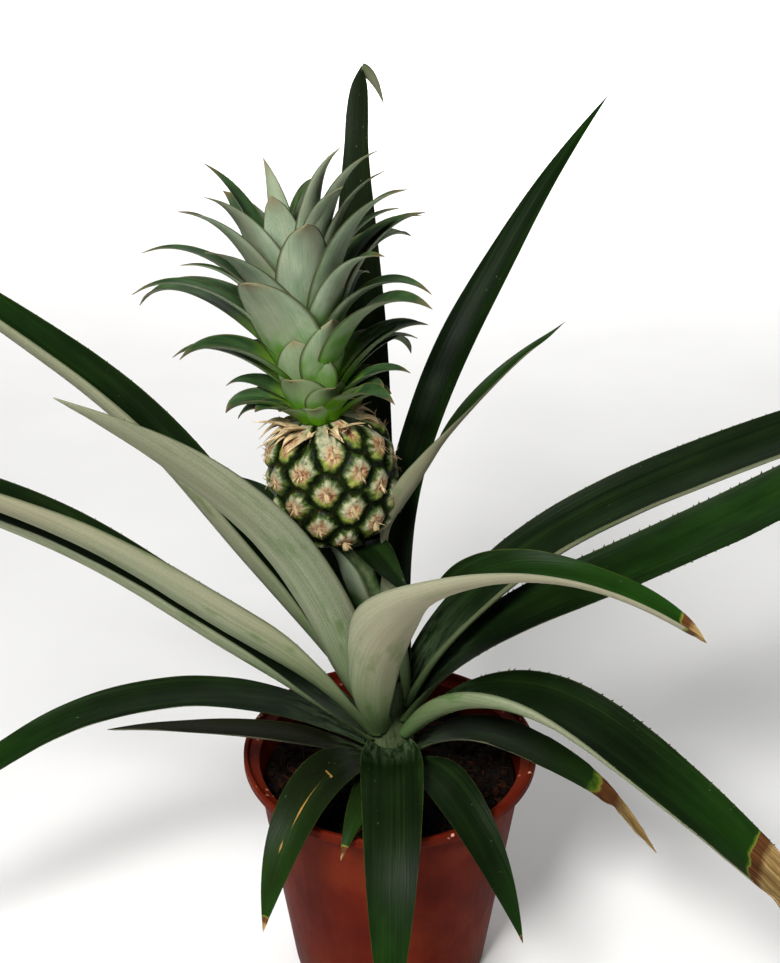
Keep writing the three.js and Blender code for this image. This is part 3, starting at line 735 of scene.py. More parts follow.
def add_leaf(piece, blade, rows, columns, seed=0, ripple=0.0, thorns=None, relief=0.12 * MM,
             dry_from=None, dry_band=6 * MM, fresh=(2, 3), scar=None, ragged=0.0, shade=0.0):
    """Adds a leaf with its two sides to a piece.

    dry_from is the share of its length where the dying tip starts and dry_band its brown zone.
    fresh is the span of shares over which the upper side turns bright green.
    """
    at = np.linspace(0, len(blade.middle) - 1, rows)
    u = np.sin(np.linspace(-1, 1, columns + 1) * math.pi / 2)
    along = distances(smooth_line(blade.middle, at))
    share = along / along[-1]
    half = np.maximum(smooth_line(blade.half, at), THINNEST)[:, None]
    arc = u * half
    grid = np.stack(np.broadcast_arrays(along[:, None] / MM, arc / MM, 10.0 * seed), -1)

    def noise(lengthwise, across, octaves, offset):
        places = grid.reshape(-1, 3) * [lengthwise, across, 1]
        return layered_noise(places, octaves, seed + offset).reshape(arc.shape)

    fade = np.minimum(1, half / (4 * MM))
    lift = ripple * noise(0.035, 0.02, 2, 5) * np.abs(u) ** 2.5 * fade
    dry = np.full(rows, NOT_DRY)
    if dry_from is not None:
        dry = (along - dry_from * along[-1]) / dry_band
        withered = np.clip((share - dry_from) / 0.05, 0, 1)[:, None]
        lift = lift + 1.3 * MM * noise(0.12, 0.16, 3, 9) * fade * withered
    ribs = relief * noise(0.006, 0.33, 2, 0) * fade * (1 - u**4)
    thick = smooth_line(blade.thickness, at)[:, None] * (1 - u**2) ** 0.8
    upper = blade_points(blade, at, u, -ribs - lift)
    under = blade_points(blade, at, u, thick - 0.5 * ribs - lift)
    if ragged:
        notch = np.maximum(0, noise(0.09, 0, 3, 3)) * np.sign(u)
        inward = ragged * np.abs(u) ** 6 * notch * fade
        moved = unit(smooth_line(blade.side, at))[:, None] * inward[..., None]
        upper, under = upper - moved, under - moved
    # One ring: the upper side from -1 to 1, then the under side back, sharing both margins.
    ring = np.concatenate([upper, under[:, -2:0:-1]], axis=1)
    u_ring = np.concatenate([u, u[-2:0:-1]])
    count = len(u_ring)
    leaf_at = np.stack(np.broadcast_arrays(along[:, None] / MM, u_ring * half / MM, 3.7 * seed), -1)
    leaf_at = leaf_at.reshape(-1, 3)
    values = {
        "leaf_at": leaf_at,
        "share": np.repeat(share, count),
        "edge": np.tile(np.abs(u_ring), rows),
        "dry": np.repeat(dry, count),
        "fresh": np.repeat(np.clip((share - fresh[0]) / (fresh[1] - fresh[0]), 0, 1), count),
        "scar": scar_distance(scar, leaf_at, along[-1] / MM) if scar else NO_SCAR,
        "shade": shade,
    }
    quads = band_faces(rows, count).reshape(rows - 1, count, 4)
    sides = [quads[:, :columns].reshape(-1, 4), quads[:, columns:].reshape(-1, 4)]
    caps = [end_cap(columns), end_cap(columns)[:, ::-1] + (rows - 1) * count]
    piece.add(ring.reshape(-1, 3), sides + caps, [0, 1, 1, 1], **values)
    if thorns:
        add_thorns(piece, blade, along, at, thorns, seed)


def scar_distance(scar, leaf_at, length):
    """How far each point lies from a scratch, a list of (share of length, millimetres across)."""
    best = np.full(len(leaf_at), NO_SCAR)
    for (s0, a0), (s1, a1) in zip(scar, scar[1:]):
        start = np.array([s0 * length, a0])
        step = np.array([s1 * length, a1]) - start
        part = np.clip(((leaf_at[:, :2] - start) @ step) / (step @ step), 0, 1)
        gap = np.linalg.norm(leaf_at[:, :2] - start - part[:, None] * step, axis=1)
        best = np.minimum(best, gap)
    return best


def add_thorns(piece, blade, along, at, thorns, seed):
    """Small hooked teeth along both margins; thorns is (spacing, size)."""
    spacing, size = thorns
    chance = np.random.default_rng(100 + seed)
    for margin in (-1, 1):
        places = np.arange(0.12 * along[-1], 0.93 * along[-1], spacing)
        places = places + chance.uniform(-0.3, 0.3, len(places)) * spacing
        row = np.interp(places, along, at)
        ahead = np.interp(places + 1 * MM, along, at)
        edge = blade_points(blade, row, np.array([margin]))[:, 0]
        inner = blade_points(blade, row, np.array([0.9 * margin]))[:, 0]
        forward = unit(blade_points(blade, ahead, np.array([margin]))[:, 0] - edge)
        out = unit(edge - inner)
        lift = unit(np.cross(forward, out))
        tall = (size * chance.uniform(0.6, 1.2, len(places)))[:, None]
        base = edge - 0.15 * tall * out
        corners = [
            base - 0.55 * tall * forward,
            base + 0.25 * tall * lift,
            base + 0.55 * tall * forward,
            base - 0.25 * tall * lift,
            edge + tall * out + 0.7 * tall * forward,
        ]
        start = np.arange(len(places))[:, None] * TOOTH_POINTS
        faces = np.concatenate([start + np.array([[k, (k + 1) % 4, 4]]) for k in range(4)])
        if margin > 0:
            faces = faces[:, ::-1]
        places = np.repeat(places, TOOTH_POINTS)
        leaf_at = places[:, None] / MM * [1, 0, 0]
        values = {"leaf_at": leaf_at, "share": places / along[-1], "edge": 1.0}
        points = np.stack(corners, 1).reshape(-1, 3)
        piece.add(points, [faces], dry=NOT_DRY, scar=NO_SCAR, fresh=0.0, **values)


def add_folded_tip(piece, blade):
    """The tall leaf's tip, folded over so that its pale underside hangs beside it."""
    share = np.linspace(0, 1, 16)
    fall = 1.2 - 1.2 * np.cos(3 * share) - 17 * share**1.5
    hang = np.stack([9.5 * share**0.8, -1.5 * share, fall], 1)
    middle = blade.middle[-1] + hang * MM - [0, 0.6 * MM, 1.5 * MM]
    forward = unit(np.gradient(middle, axis=0))
    side = unit(np.cross([0.0, 1.0, 0.0], forward))
    half = 2.7 * MM * (1 - share**1.6)
    thick = 0.7 * MM * (1 - 0.6 * share)
    fold = Blade(middle, side, np.cross(forward, side), np.full(len(share), 0.5), half, thick)
    add_leaf(piece, fold, rows=40, columns=10, seed=77, relief=0.1 * MM, shade=0.7)


# How each rosette leaf grew beyond its CAD shape; a lip shows a strip of the pale underside.
ROSETTE = {
    "leaf_back_tall": dict(
        shade=0.3,
        style=dict(blunt=(0.86, 3), curl=[55, 50, 40, 22, 14, 12], roll=[0, -12, -20, -22, -22, -20]),
    ),
    "leaf_back_right": dict(
        fresh=(0.8, 1.6), style=dict(slim=[0.8, 0.75, 0.8, 1, 1, 1], shift=[0, -6, -7, -3, 0, 0, 0])
    ),
    "leaf_thin_right": dict(
        fresh=(0.6, 1.4),
        shade=0.3,
        style=dict(
            slim=[0.7, 0.6, 0.62, 0.7, 1, 1],
            roll=[0, -50, -72, -50, -10, 0],
            shift=[0, -4, -7, -10, -13, -10, -9, -10, -8, -5, 0],
            pull=[0, -3, -5, -11, -3, 0],
        ),
    ),
    "leaf_inner_left": dict(),
    "leaf_right_upper": dict(
        thorns=(5 * MM, 0.5 * MM),
        ripple=0.5 * MM,
        style=dict(lip=[70, 62, 55, 60, 60, 55], lip_width=[0.3, 0.22, 0.2, 0.22, 0.24, 0.2]),
    ),
    "leaf_left_long": dict(thorns=(6 * MM, 0.4 * MM), fresh=(0.5, 1.8)),
    "leaf_front_left": dict(
        thorns=(6 * MM, 0.4 * MM), ripple=0.5 * MM, style=dict(slim=[0.95, 0.85, 0.8, 0.85, 1, 1])
    ),
    "leaf_right_lower": dict(
        thorns=(4.6 * MM, 0.9 * MM),
        ripple=0.9 * MM,
        fresh=(0.2, 1.6),
        style=dict(lip=[60, 36, 10, 10, 10], lip_width=[0.3, 0.2, 0.15, 0.15, 0.15], margin=1),
    ),
    "leaf_front_arch": dict(
        dry_from=0.95,
        dry_band=5 * MM,
        fresh=(0.6, 1.15),
        shade=-0.15,
        style=dict(
            roll=[0, -8, -8, 2, 10, 12],
            slim=[0.65, 0.75, 1.12, 1.25, 1.15, 1.15],
            shift=[-3, -2, 0, 0, 0, 0],
            blunt=(0.8, 2.5),
        ),
    ),
    "leaf_left_middle": dict(
        thorns=(6 * MM, 0.4 * MM), ripple=1.0 * MM, style=dict(roll=[0, 20, 22, 16, 8, 0])
    ),
    "leaf_front_right_big": dict(
        thorns=(4.6 * MM, 0.8 * MM),
        ripple=0.7 * MM,
        dry_from=0.66,
        fresh=(0.45, 0.9),
        style=dict(
            curl=[60, 40, 28, 28, 28],
            lip=[70, 60, 36, 24, 10],
            lip_width=[0.7, 0.45, 0.2, 0.12, 0.1],
        ),
    ),
    "leaf_left_lower": dict(thorns=(6 * MM, 0.4 * MM), ripple=0.8 * MM),
    "leaf_front": dict(fresh=(0.5, 1.6)),
    "leaf_left_drooping": dict(ripple=1.5 * MM, fresh=(0.45, 1.2), dry_from=0.985),
    "leaf_left_thin": dict(ripple=0.8 * MM, shade=0.75),
    "leaf_front_left_short": dict(
        dry_from=0.94,
        dry_band=3 * MM,
        fresh=(0.4, 1.1),
        scar=[(0.33, -3), (0.35, 2.6), (0.36, 0.6), (0.5, 0.2), (0.63, -0.6), (0.72, -2)],
        shade=0.4,
    ),
    "leaf_front_right_short": dict(dry_from=0.975, dry_band=3 * MM, fresh=(0.7, 1.5)),
    "leaf_right_dry_tip": dict(
        dry_from=0.68, dry_band=15 * MM, fresh=(0.4, 1.1), ragged=1.6 * MM, shade=0.25
    ),
    "leaf_front_tiny": dict(dry_from=0.92, dry_band=3 * MM, fresh=(0.4, 1.2), shade=0.4),
}
# The bracts on the stalk: slot, looks and style.
BRACTS = {
    "bract_under_fruit": ("rosette_leaf", LEAF_LOOKS, dict(shift=[0, -1, -3, -3], lift=[2, 5, 6, 6])),
    "bract_stalk_left": (
        "stalk_bract",
        CROWN_LOOKS,
        dict(slim=[1, 1.7, 2.2, 2.7, 3], shift=[0, 1, 1, 2, 2], lift=[0, 0, 1, 3, 5]),
    ),
    "bract_stalk_front": ("stalk_bract", CROWN_LOOKS, {}),
}

for seed, (name, habit) in enumerate(ROSETTE.items(), 1):
    blade = read_blade(name).restyle(**habit.pop("style", {}))
    leaf = Piece()
    add_leaf(leaf, blade, rows=180, columns=18, seed=seed, **habit)
    if name == "leaf_back_tall":
        add_folded_tip(leaf, blade)
    leaf.make(name + "_blade", LEAF_LOOKS, [name])

for seed, (name, (slot, looks, style)) in enumerate(BRACTS.items(), 31):
    leaf = Piece()
    blade = read_blade(name).restyle(**style)
    add_leaf(leaf, blade, rows=60, columns=10, seed=seed, relief=0.05 * MM)
    leaf.make(name + "_blade", looks, [name])

# ---------------------------------------------------------------- the fruit's axis
core_points, _ = merged_mesh("crown_core")
AXIS_MIDDLE = core_points.mean(0)
AXIS = np.linalg.svd(core_points - AXIS_MIDDLE)[2][0]
AXIS = AXIS * np.sign(AXIS[2])
AXIS_X = unit(np.array([1, 0, 0]) - AXIS[0] * AXIS)
AXES = np.stack([AXIS_X, np.cross(AXIS, AXIS_X), AXIS])  # rows: the fruit's own x, y and up


def on_axis(name):
    """Radii and heights of a node's points in the fruit's own frame, from the core's middle."""
    points, _ = merged_mesh(name)
    local = (points - AXIS_MIDDLE) @ AXES.T
    return np.hypot(local[:, 0], local[:, 1]), local[:, 2]


fruit_radii, fruit_heights = on_axis("fruit")
core_radii, core_heights = on_axis("crown_core")
FRUIT_HEIGHT = fruit_heights.max() - fruit_heights.min()
FRUIT_RADIUS = fruit_radii.max()
FRUIT_ORIGIN = AXIS_MIDDLE + AXIS * fruit_heights.min()
CROWN_FOOT = core_heights.min() - fruit_heights.min()
CORE_HEIGHT = core_heights.max() - core_heights.min()
CORE_FOOT_RADIUS = core_radii.max()
CORE_TIP_RADIUS = core_radii.min()


def placed(points):
    """Points of the fruit's own frame, from its foot, in the part's frame."""
    return np.asarray(points) @ AXES + FRUIT_ORIGIN


def spot(angle, away, height, aside=0):
    """A place in the part's frame, told by its angle round the fruit's axis and its lengths."""
    cosine, sine = math.cos(angle), math.sin(angle)
    return placed([away * cosine - aside * sine, away * sine + aside * cosine, height])


# ---------------------------------------------------------------- fruit
EYE_RISE = 1.125 * MM  # from one eye of the spiral to the next
EYE_COUNT = int(FRUIT_HEIGHT / EYE_RISE)
EYE_LIFT = 2.4 * MM
EYE_SLOPE = 3.6 * MM
EYE_REACH = 9 * MM
PIT_RADIUS = 1.4 * MM
EYE_TURN = math.radians(21)  # heading of the lowest eye; the spiral runs clockwise
HAIRS_PER_EYE = 5
HAIR_SPREAD = 1.6 * MM
PINCHED = 0.05 * MM  # radius of the fruit's two ends
EYE_ANGLES = EYE_TURN - GOLDEN_ANGLE * np.arange(EYE_COUNT)
EYE_HEIGHTS = EYE_RISE * np.arange(EYE_COUNT)


def barrel_radius(height):
    """Radius of the fruit's furrows at a height above its foot."""
    middle = FRUIT_HEIGHT / 2
    share = np.abs(height - middle) / (middle + 1 * MM)
    return (FRUIT_RADIUS - EYE_LIFT) * np.sqrt(np.maximum(0, 1 - share**4))


def make_fruit():
    """The fruit's skin, each point raised by how far it lies inside the nearest eye."""
    sides, rows = 300, 160
    height = FRUIT_HEIGHT / 2 * (1 - np.cos(np.linspace(0, math.pi, rows)))
    angle, level = np.meshgrid(ring_angles(sides), height)
    angle, level = angle.ravel(), level.ravel()
    around = (angle[:, None] - EYE_ANGLES + math.pi) % (2 * math.pi) - math.pi
    around = around * FRUIT_RADIUS * 0.92
    above = level[:, None] - EYE_HEIGHTS
    gap = np.hypot(around, above)
    order = np.argsort(gap, axis=1)[:, :2]
    pick = np.arange(len(gap))
    eye = order[:, 0]
    nearest, second = gap[pick, eye], gap[pick, order[:, 1]]
    around, above = around[pick, eye], above[pick, eye]
    inside = (second - nearest) / 2
    rise = np.clip(inside / EYE_SLOPE, 0, 1)
    dome = rise * rise * (3 - 2 * rise)
    pit = np.exp(-((nearest / PIT_RADIUS) ** 2))
    fade = np.clip(np.minimum((FRUIT_HEIGHT - level) / (9 * MM), level / (5 * MM)), 0, 1)
    surface = np.stack([np.cos(angle), np.sin(angle), level / FRUIT_RADIUS], 1) * 26
    rough = layered_noise(surface * 0.55, 3, 3)
    compass = 2.4 * np.stack([around, above], 1) / (nearest[:, None] + 0.3 * MM)
    ray_at = np.column_stack([compass, 7.3 * eye + nearest / EYE_REACH])
    rays = layered_noise(ray_at * 1.3, 2, 12)
    lift = EYE_LIFT * fade * (dome * (0.92 + 0.02 * above / MM) - 0.2 * pit)
    lift = lift + (0.16 * rough + 0.22 * rays * dome) * MM
    radius = np.maximum(barrel_radius(level) + lift, PINCHED).reshape(rows, sides)
    radius[[0, -1]] = PINCHED
    values = dict(eye_gap=nearest / MM, eye_inside=inside / MM, eye_above=above / MM)
    piece = Piece()
    points = rings(radius, height[:, None], sides)
    piece.add(placed(points), ring_faces(rows, sides), ray_at=ray_at, **values)
    piece.make("fruit_body", [FRUIT_LOOK], ["fruit"])


make_fruit()


def make_eye_bracts():
    """Each eye's small bract, its dry tip lifting off, and the hairs of its withered flower."""
    piece = Piece()
    chance = np.random.default_rng(5)
    for eye in range(3, EYE_COUNT - 3):
        angle, height = EYE_ANGLES[eye], EYE_HEIGHTS[eye]
        heading = math.degrees(angle)
        root = spot(angle, barrel_radius(height) + 0.72 * EYE_LIFT, height - 3.4 * MM)
        turn = heading + chance.uniform(-12, 12)
        lean = chance.uniform(-5, 5)
        pitch = [74 + lean, 84, 90, 80 + chance.uniform(-8, 8), 52 + chance.uniform(-35, 15)]
        blade = grown_blade(
            root, chance.uniform(6, 8) * MM, chance.uniform(2.2, 3.4) * MM, pitch, [turn] * 3,
            foot=0.9, widest=0.3, taper=1.1, thickness=0.3 * MM, rows=9,
        )
        add_leaf(piece, blade, rows=16, columns=6, seed=eye + 90, relief=0.15 * MM, ripple=0.3 * MM)
        for _ in range(HAIRS_PER_EYE):
            spin = chance.uniform(0, 2 * math.pi)
            reach = chance.uniform(0.5, 1.6) * MM
            aside, above = reach * math.cos(spin), reach * math.sin(spin)
            root = spot(angle, barrel_radius(height + above) + 0.9 * EYE_LIFT, height + above, aside)
            steep = math.degrees(math.atan2(above, 0.6 * MM)) * 0.8
            aim = heading + 70 * aside / HAIR_SPREAD
            blade = grown_blade(
                root, chance.uniform(2, 3.6) * MM, chance.uniform(0.35, 0.7) * MM,
                [steep, steep * 1.1, steep * 1.3], [aim, aim], curl=20, taper=1.2,
                thickness=0.15 * MM, rows=5,
            )
            add_leaf(piece, blade, rows=6, columns=4, seed=eye + 60, relief=0)
    piece.make("eye_bracts", [DRY_LOOK, DRY_LOOK])


make_eye_bracts()
COLLAR_STRIPS = 52


def make_dry_collar():
    """Ragged papery bracts lying over the fruit's shoulder, under the crown."""
    piece = Piece()
    chance = np.random.default_rng(8)
    for number in range(COLLAR_STRIPS):
        angle = 2 * math.pi * (number + chance.uniform(-0.6, 0.6)) / COLLAR_STRIPS
        start = chance.uniform(5, 15)
        root = spot(angle, start * MM, FRUIT_HEIGHT - (0.4 + 0.012 * start**2) * MM)
        first = chance.uniform(-15, 40)
        fall = chance.uniform(10, 80)
        pitch = [first, first - 0.3 * fall, first - 0.9 * fall, first - fall]
        swirl = chance.uniform(-70, 70)
        heading = math.degrees(angle) + swirl * np.array([0.2, 0.5, 1])
        blade = grown_blade(
            root, chance.uniform(7, 19) * MM, chance.uniform(2.4, 6.5) * MM, pitch, heading,
            curl=chance.uniform(20, 80), foot=0.85, widest=0.25, taper=chance.uniform(0.9, 1.8),
            thickness=0.3 * MM, rows=9,
        )
        add_leaf(piece, blade, rows=24, columns=8, seed=number + 150, relief=0.2 * MM,
                 ripple=1.0 * MM, ragged=1.0 * MM)
    piece.make("dry_bracts", [DRY_LOOK, DRY_LOOK], ["dry_bract_collar"])


make_dry_collar()


# ---------------------------------------------------------------- crown
# How the leaves that differ from their CAD shape grew, by number, in degrees and millimetres: turn is
# the way round the axis from the CAD leaf, rise the pitch at the foot, droop the pitch lost by the tip,
# widest the share of the length where it is widest, and a high taper or a low blunt rounds the tip.
CROWN_HABITS = {
    1: dict(rise=22, droop=57, length=28, width=15),
    2: dict(rise=36, droop=42, length=48, width=15),
    4: dict(turn=36, rise=76, droop=0, length=33, width=26, widest=0.42, taper=1.8, blunt=0.85, hook=0),
    5: dict(rise=53, droop=53, length=49),
    7: dict(turn=32, rise=70, droop=4, length=37, width=24, widest=0.5, taper=1.9, blunt=0.8, hook=0),
    8: dict(turn=-18, rise=36, droop=96, length=47),
    9: dict(rise=59, droop=74, length=53),
    10: dict(rise=64, droop=75, length=70),
    12: dict(turn=0, rise=75, droop=28, length=57, width=31, widest=0.45, taper=2, blunt=0.62, curl=24,
             hook=0, rows=30),
    13: dict(turn=-9, rise=74, droop=59, length=77),
    14: dict(rise=58, droop=84, length=81),
    15: dict(turn=19, rise=72, droop=55, length=74, width=19),
    16: dict(turn=14, rise=70, droop=57, length=75),
    17: dict(turn=12, rise=80, droop=40, length=67, width=31, curl=22),
    18: dict(turn=-18, rise=75, droop=48, length=88),
    19: dict(rise=81, droop=51, length=75),
    20: dict(turn=28, rise=73, droop=8, length=64, width=24, widest=0.5, taper=1.9, blunt=0.7, curl=30),
    21: dict(turn=-6, rise=63, droop=79, length=65, width=20, taper=3),
    22: dict(turn=33, rise=81, droop=41, length=77, width=28, curl=22),
    23: dict(turn=-3, rise=83, droop=44, length=77, width=17),
    24: dict(turn=-14, rise=69, droop=63, length=77),
    25: dict(turn=33, rise=88, droop=1, length=60, width=19, widest=0.45, taper=2, blunt=0.75),
    26: dict(turn=-43, rise=77, droop=40, length=88),
    27: dict(turn=18, rise=85, droop=25, length=73),
    28: dict(turn=35, rise=81, droop=31, length=81, width=16),
    29: dict(rise=84, droop=58, length=64),
    30: dict(turn=24, rise=81, droop=33, length=67, width=24, curl=22),
}
# Leaves between those, which the CAD leaves out: (height, heading, rise, droop, length, width).
CROWN_FILL = [
    (26, 185, 76, 69, 78, 13),
    (20, 197, 81, 56, 68, 12),
    (18, 190, 72, 76, 80, 14),
    (9, 179, 57, 69, 57, 14),
    (41, 245, 92, -1, 65, 15),
    (33, 338, 76, 38, 78, 13),
    (28, 358, 79, 61, 69, 14),
    (30, 18, 67, 65, 68, 14),
    (22, 334, 67, 90, 69, 15),
    (12, 12, 49, 64, 47, 14),
    (8, 25, 43, 63, 44, 13),
    (6, 343, 43, 54, 37, 13),
    (36, 77, 71, 56, 69, 14),
    (40, 56, 86, 16, 46, 12),
    (26, 100, 70, 66, 72, 16),
    (16, 120, 60, 72, 64, 16),
    (14, 62, 58, 70, 60, 16),
    (7, 95, 44, 64, 48, 15),
    (5, 165, 43, 57, 34, 13),
]
# The short clasping leaves at its foot: (height, heading, rise, droop, length, width).
CROWN_BRACTS = [
    (1.8, 246, 72, 6, 24, 24),
    (0.6, 222, 56, 30, 15, 15),
    (0.4, 268, 62, 14, 12, 15),
    (1.6, 298, 70, 30, 21, 20),
    (0.8, 318, 60, 50, 19, 15),
    (2.2, 334, 52, 60, 27, 15),
    (0.6, 350, 40, 50, 24, 14),
    (1.4, 22, 50, 54, 24, 15),
    (0.8, 58, 44, 50, 22, 15),
    (1.8, 92, 52, 56, 24, 15),
    (0.6, 128, 44, 50, 22, 14),
    (1.2, 158, 40, 60, 26, 15),
    (2.0, 190, 44, 66, 32, 17),
    (0.8, 206, 52, 52, 22, 14),
]
CROWN_HOOK = 60  # degrees that the last tenths of a leaf turn down, for a whole length of them
HOOK_START = 0.7
HEART_LEAVES = 7


def swept_blade(root, turn, rise, droop, length, width, curl=38, foot=0.62, hook=CROWN_HOOK,
                **outline):
    """A crown leaf's blade from its root, from lengths in millimetres and degrees."""
    places = np.linspace(0, 1, 9)
    pitch = rise - droop * places**1.6 - hook * np.maximum(0, places - HOOK_START)
    return grown_blade(
        root, length * MM, width * MM, pitch, [turn] * 3, curl=curl, foot=foot, **outline
    )


def make_crown_leaves():
    names = sorted(name for name in nodes if name.startswith("crown_leaf_"))
    for number, name in enumerate(names, 1):
        blade = read_blade(name)
        root = (blade.middle[0] - FRUIT_ORIGIN) @ AXES.T
        # The lowest crown leaves carry painted shade, which fades out 22 mm above the crown's foot.
        low = max(0, 1 - (root[2] - CROWN_FOOT) / (22 * MM))
        if number in CROWN_HABITS:
            habit = {"turn": 0, "width": 2 * blade.half.max() / MM, **CROWN_HABITS[number]}
            turn = math.degrees(math.atan2(root[1], root[0])) + habit.pop("turn")
            root = spot(math.radians(turn), math.hypot(root[0], root[1]), root[2])
            blade = swept_blade(root, turn, **habit)
        leaf = Piece()
        add_leaf(leaf, blade, rows=60, columns=12, seed=number + 40, relief=0.06 * MM,
                 ripple=0.3 * MM, thorns=(2.6 * MM, 0.22 * MM), shade=low)
        leaf.make(name + "_blade", CROWN_LOOKS, [name])


def make_crown_heart():
    """The crown's core, with narrow leaves round it, the youngest at its top and bracts at its foot."""
    piece = Piece()
    sides, rows = 36, 24
    share = np.linspace(0, 1, rows)[:, None]
    wide = CORE_FOOT_RADIUS + (CORE_TIP_RADIUS - CORE_FOOT_RADIUS) * share
    wide[-1] = 0.1 * MM
    core = rings(wide, CROWN_FOOT + CORE_HEIGHT * share, sides)
    values = dict(leaf_at=core / MM, share=0, edge=0, dry=NOT_DRY, fresh=0, scar=NO_SCAR)
    piece.add(placed(core), ring_faces(rows, sides)[:2], 1, **values)
    for number, (height, turn, rise, droop, length, width) in enumerate(CROWN_FILL):
        up = min(height * MM / CORE_HEIGHT, 1)
        away = CORE_FOOT_RADIUS + (CORE_TIP_RADIUS - CORE_FOOT_RADIUS) * up
        root = spot(math.radians(turn), away, CROWN_FOOT + height * MM)
        blade = swept_blade(root, turn, rise, droop, length, width)
        add_leaf(piece, blade, rows=56, columns=10, seed=number + 260, relief=0.06 * MM,
                 ripple=0.3 * MM, thorns=(2.6 * MM, 0.2 * MM))
    for number in range(HEART_LEAVES):
        angle = GOLDEN_ANGLE * number + 0.7
        age = number / (HEART_LEAVES - 1)
        root = spot(angle, 1.8 * MM, CROWN_FOOT + CORE_HEIGHT * (0.9 + 0.08 * age))
        pitch = [88, 84 - 6 * (1 - age), 80 - 16 * (1 - age), 74 - 22 * (1 - age)]
        blade = grown_blade(root, (36 - 12 * age) * MM, (9 - 3 * age) * MM, pitch,
                            [math.degrees(angle)] * 3, curl=55, foot=0.7)
        add_leaf(piece, blade, rows=40, columns=8, seed=number + 200, relief=0.05 * MM)
    # The clasping bracts at the crown's foot carry full painted shade.
    for number, (height, turn, rise, droop, length, width) in enumerate(CROWN_BRACTS):
        root = spot(math.radians(turn), CORE_FOOT_RADIUS + 0.3 * MM, CROWN_FOOT + height * MM)
        blade = swept_blade(root, turn, rise, droop, length, width, curl=48, foot=0.5,
                            widest=0.42, taper=1.9, blunt=0.7)
        add_leaf(piece, blade, rows=36, columns=8, seed=number + 230, relief=0.05 * MM,
                 ripple=0.5 * MM, thorns=(2.2 * MM, 0.3 * MM), shade=1.0)
    piece.make("crown_heart", CROWN_LOOKS, ["crown_core"])


make_crown_leaves()
make_crown_heart()


# ---------------------------------------------------------------- stem and stalk
SKIN_BUMPS = 0.25 * MM


def softened(name, material):
    """A smoother copy of a CAD node, its skin gently uneven, which stands for it."""
    mesh = nodes[name].data.copy()
    mesh.name = name + "_skin"
    grid = bmesh.new()
    grid.from_mesh(mesh)
    bmesh.ops.remove_doubles(grid, verts=grid.verts, dist=0.01 * MM)
    bmesh.ops.subdivide_edges(grid, edges=grid.edges, cuts=2, use_grid_fill=True)
    grid.normal_update()
    for vert in grid.verts:
        away = layered_noise(np.array([vert.co]) / (3 * MM), 2, 4)[0]
        vert.co += vert.normal * float(away) * SKIN_BUMPS
    for face in grid.faces:
        face.smooth = True
    grid.to_mesh(mesh)
    grid.free()
    mesh.materials.clear()
    mesh.materials.append(material)
    add_object(name + "_skin", mesh, [name])


softened("stem", STEM_LOOK)
softened("fruit_stalk", STALK_LOOK)


# ---------------------------------------------------------------- pot
_, pot_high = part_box("pot")
POT_HEIGHT = pot_high.z
RIM_RADIUS = pot_high.x
LIP_HEIGHT = 4.5 * MM
LIP_WIDTH = 2.2 * MM
LIP_EDGE = 0.8 * MM  # radius of the lip's lower edge
LIP_ROLL = 1.1 * MM  # and of its rolled top
SHOULDER_RADIUS = 59.5 * MM
POT_FOOT_RADIUS = 45 * MM
POT_CORNER = 1.0 * MM
POT_WALL = 1.4 * MM
POT_FLOOR = 1.8 * MM
POT_CENTRE = 0.1 * MM  # radius at which the floor's two skins end
POT_SIDES = 168
DRAIN_HOLES = 8
DRAIN_RADIUS = 4 * MM
DRAIN_CIRCLE = 33 * MM
DRAIN_SIDES = 20
SHARP_EDGE = math.radians(40)


def arc_line(centre, radius, start, end, steps=6):
    """Points of an arc in the outline plane, angles in degrees from the outward direction."""
    turns = np.radians(np.linspace(start, end, steps))
    return [(centre[0] + radius * math.cos(t), centre[1] + radius * math.sin(t)) for t in turns]


def straight(start, end, steps):
    """Points of a straight stretch without its end."""
    return [tuple(np.add(start, np.subtract(end, start) * k / steps)) for k in range(steps)]


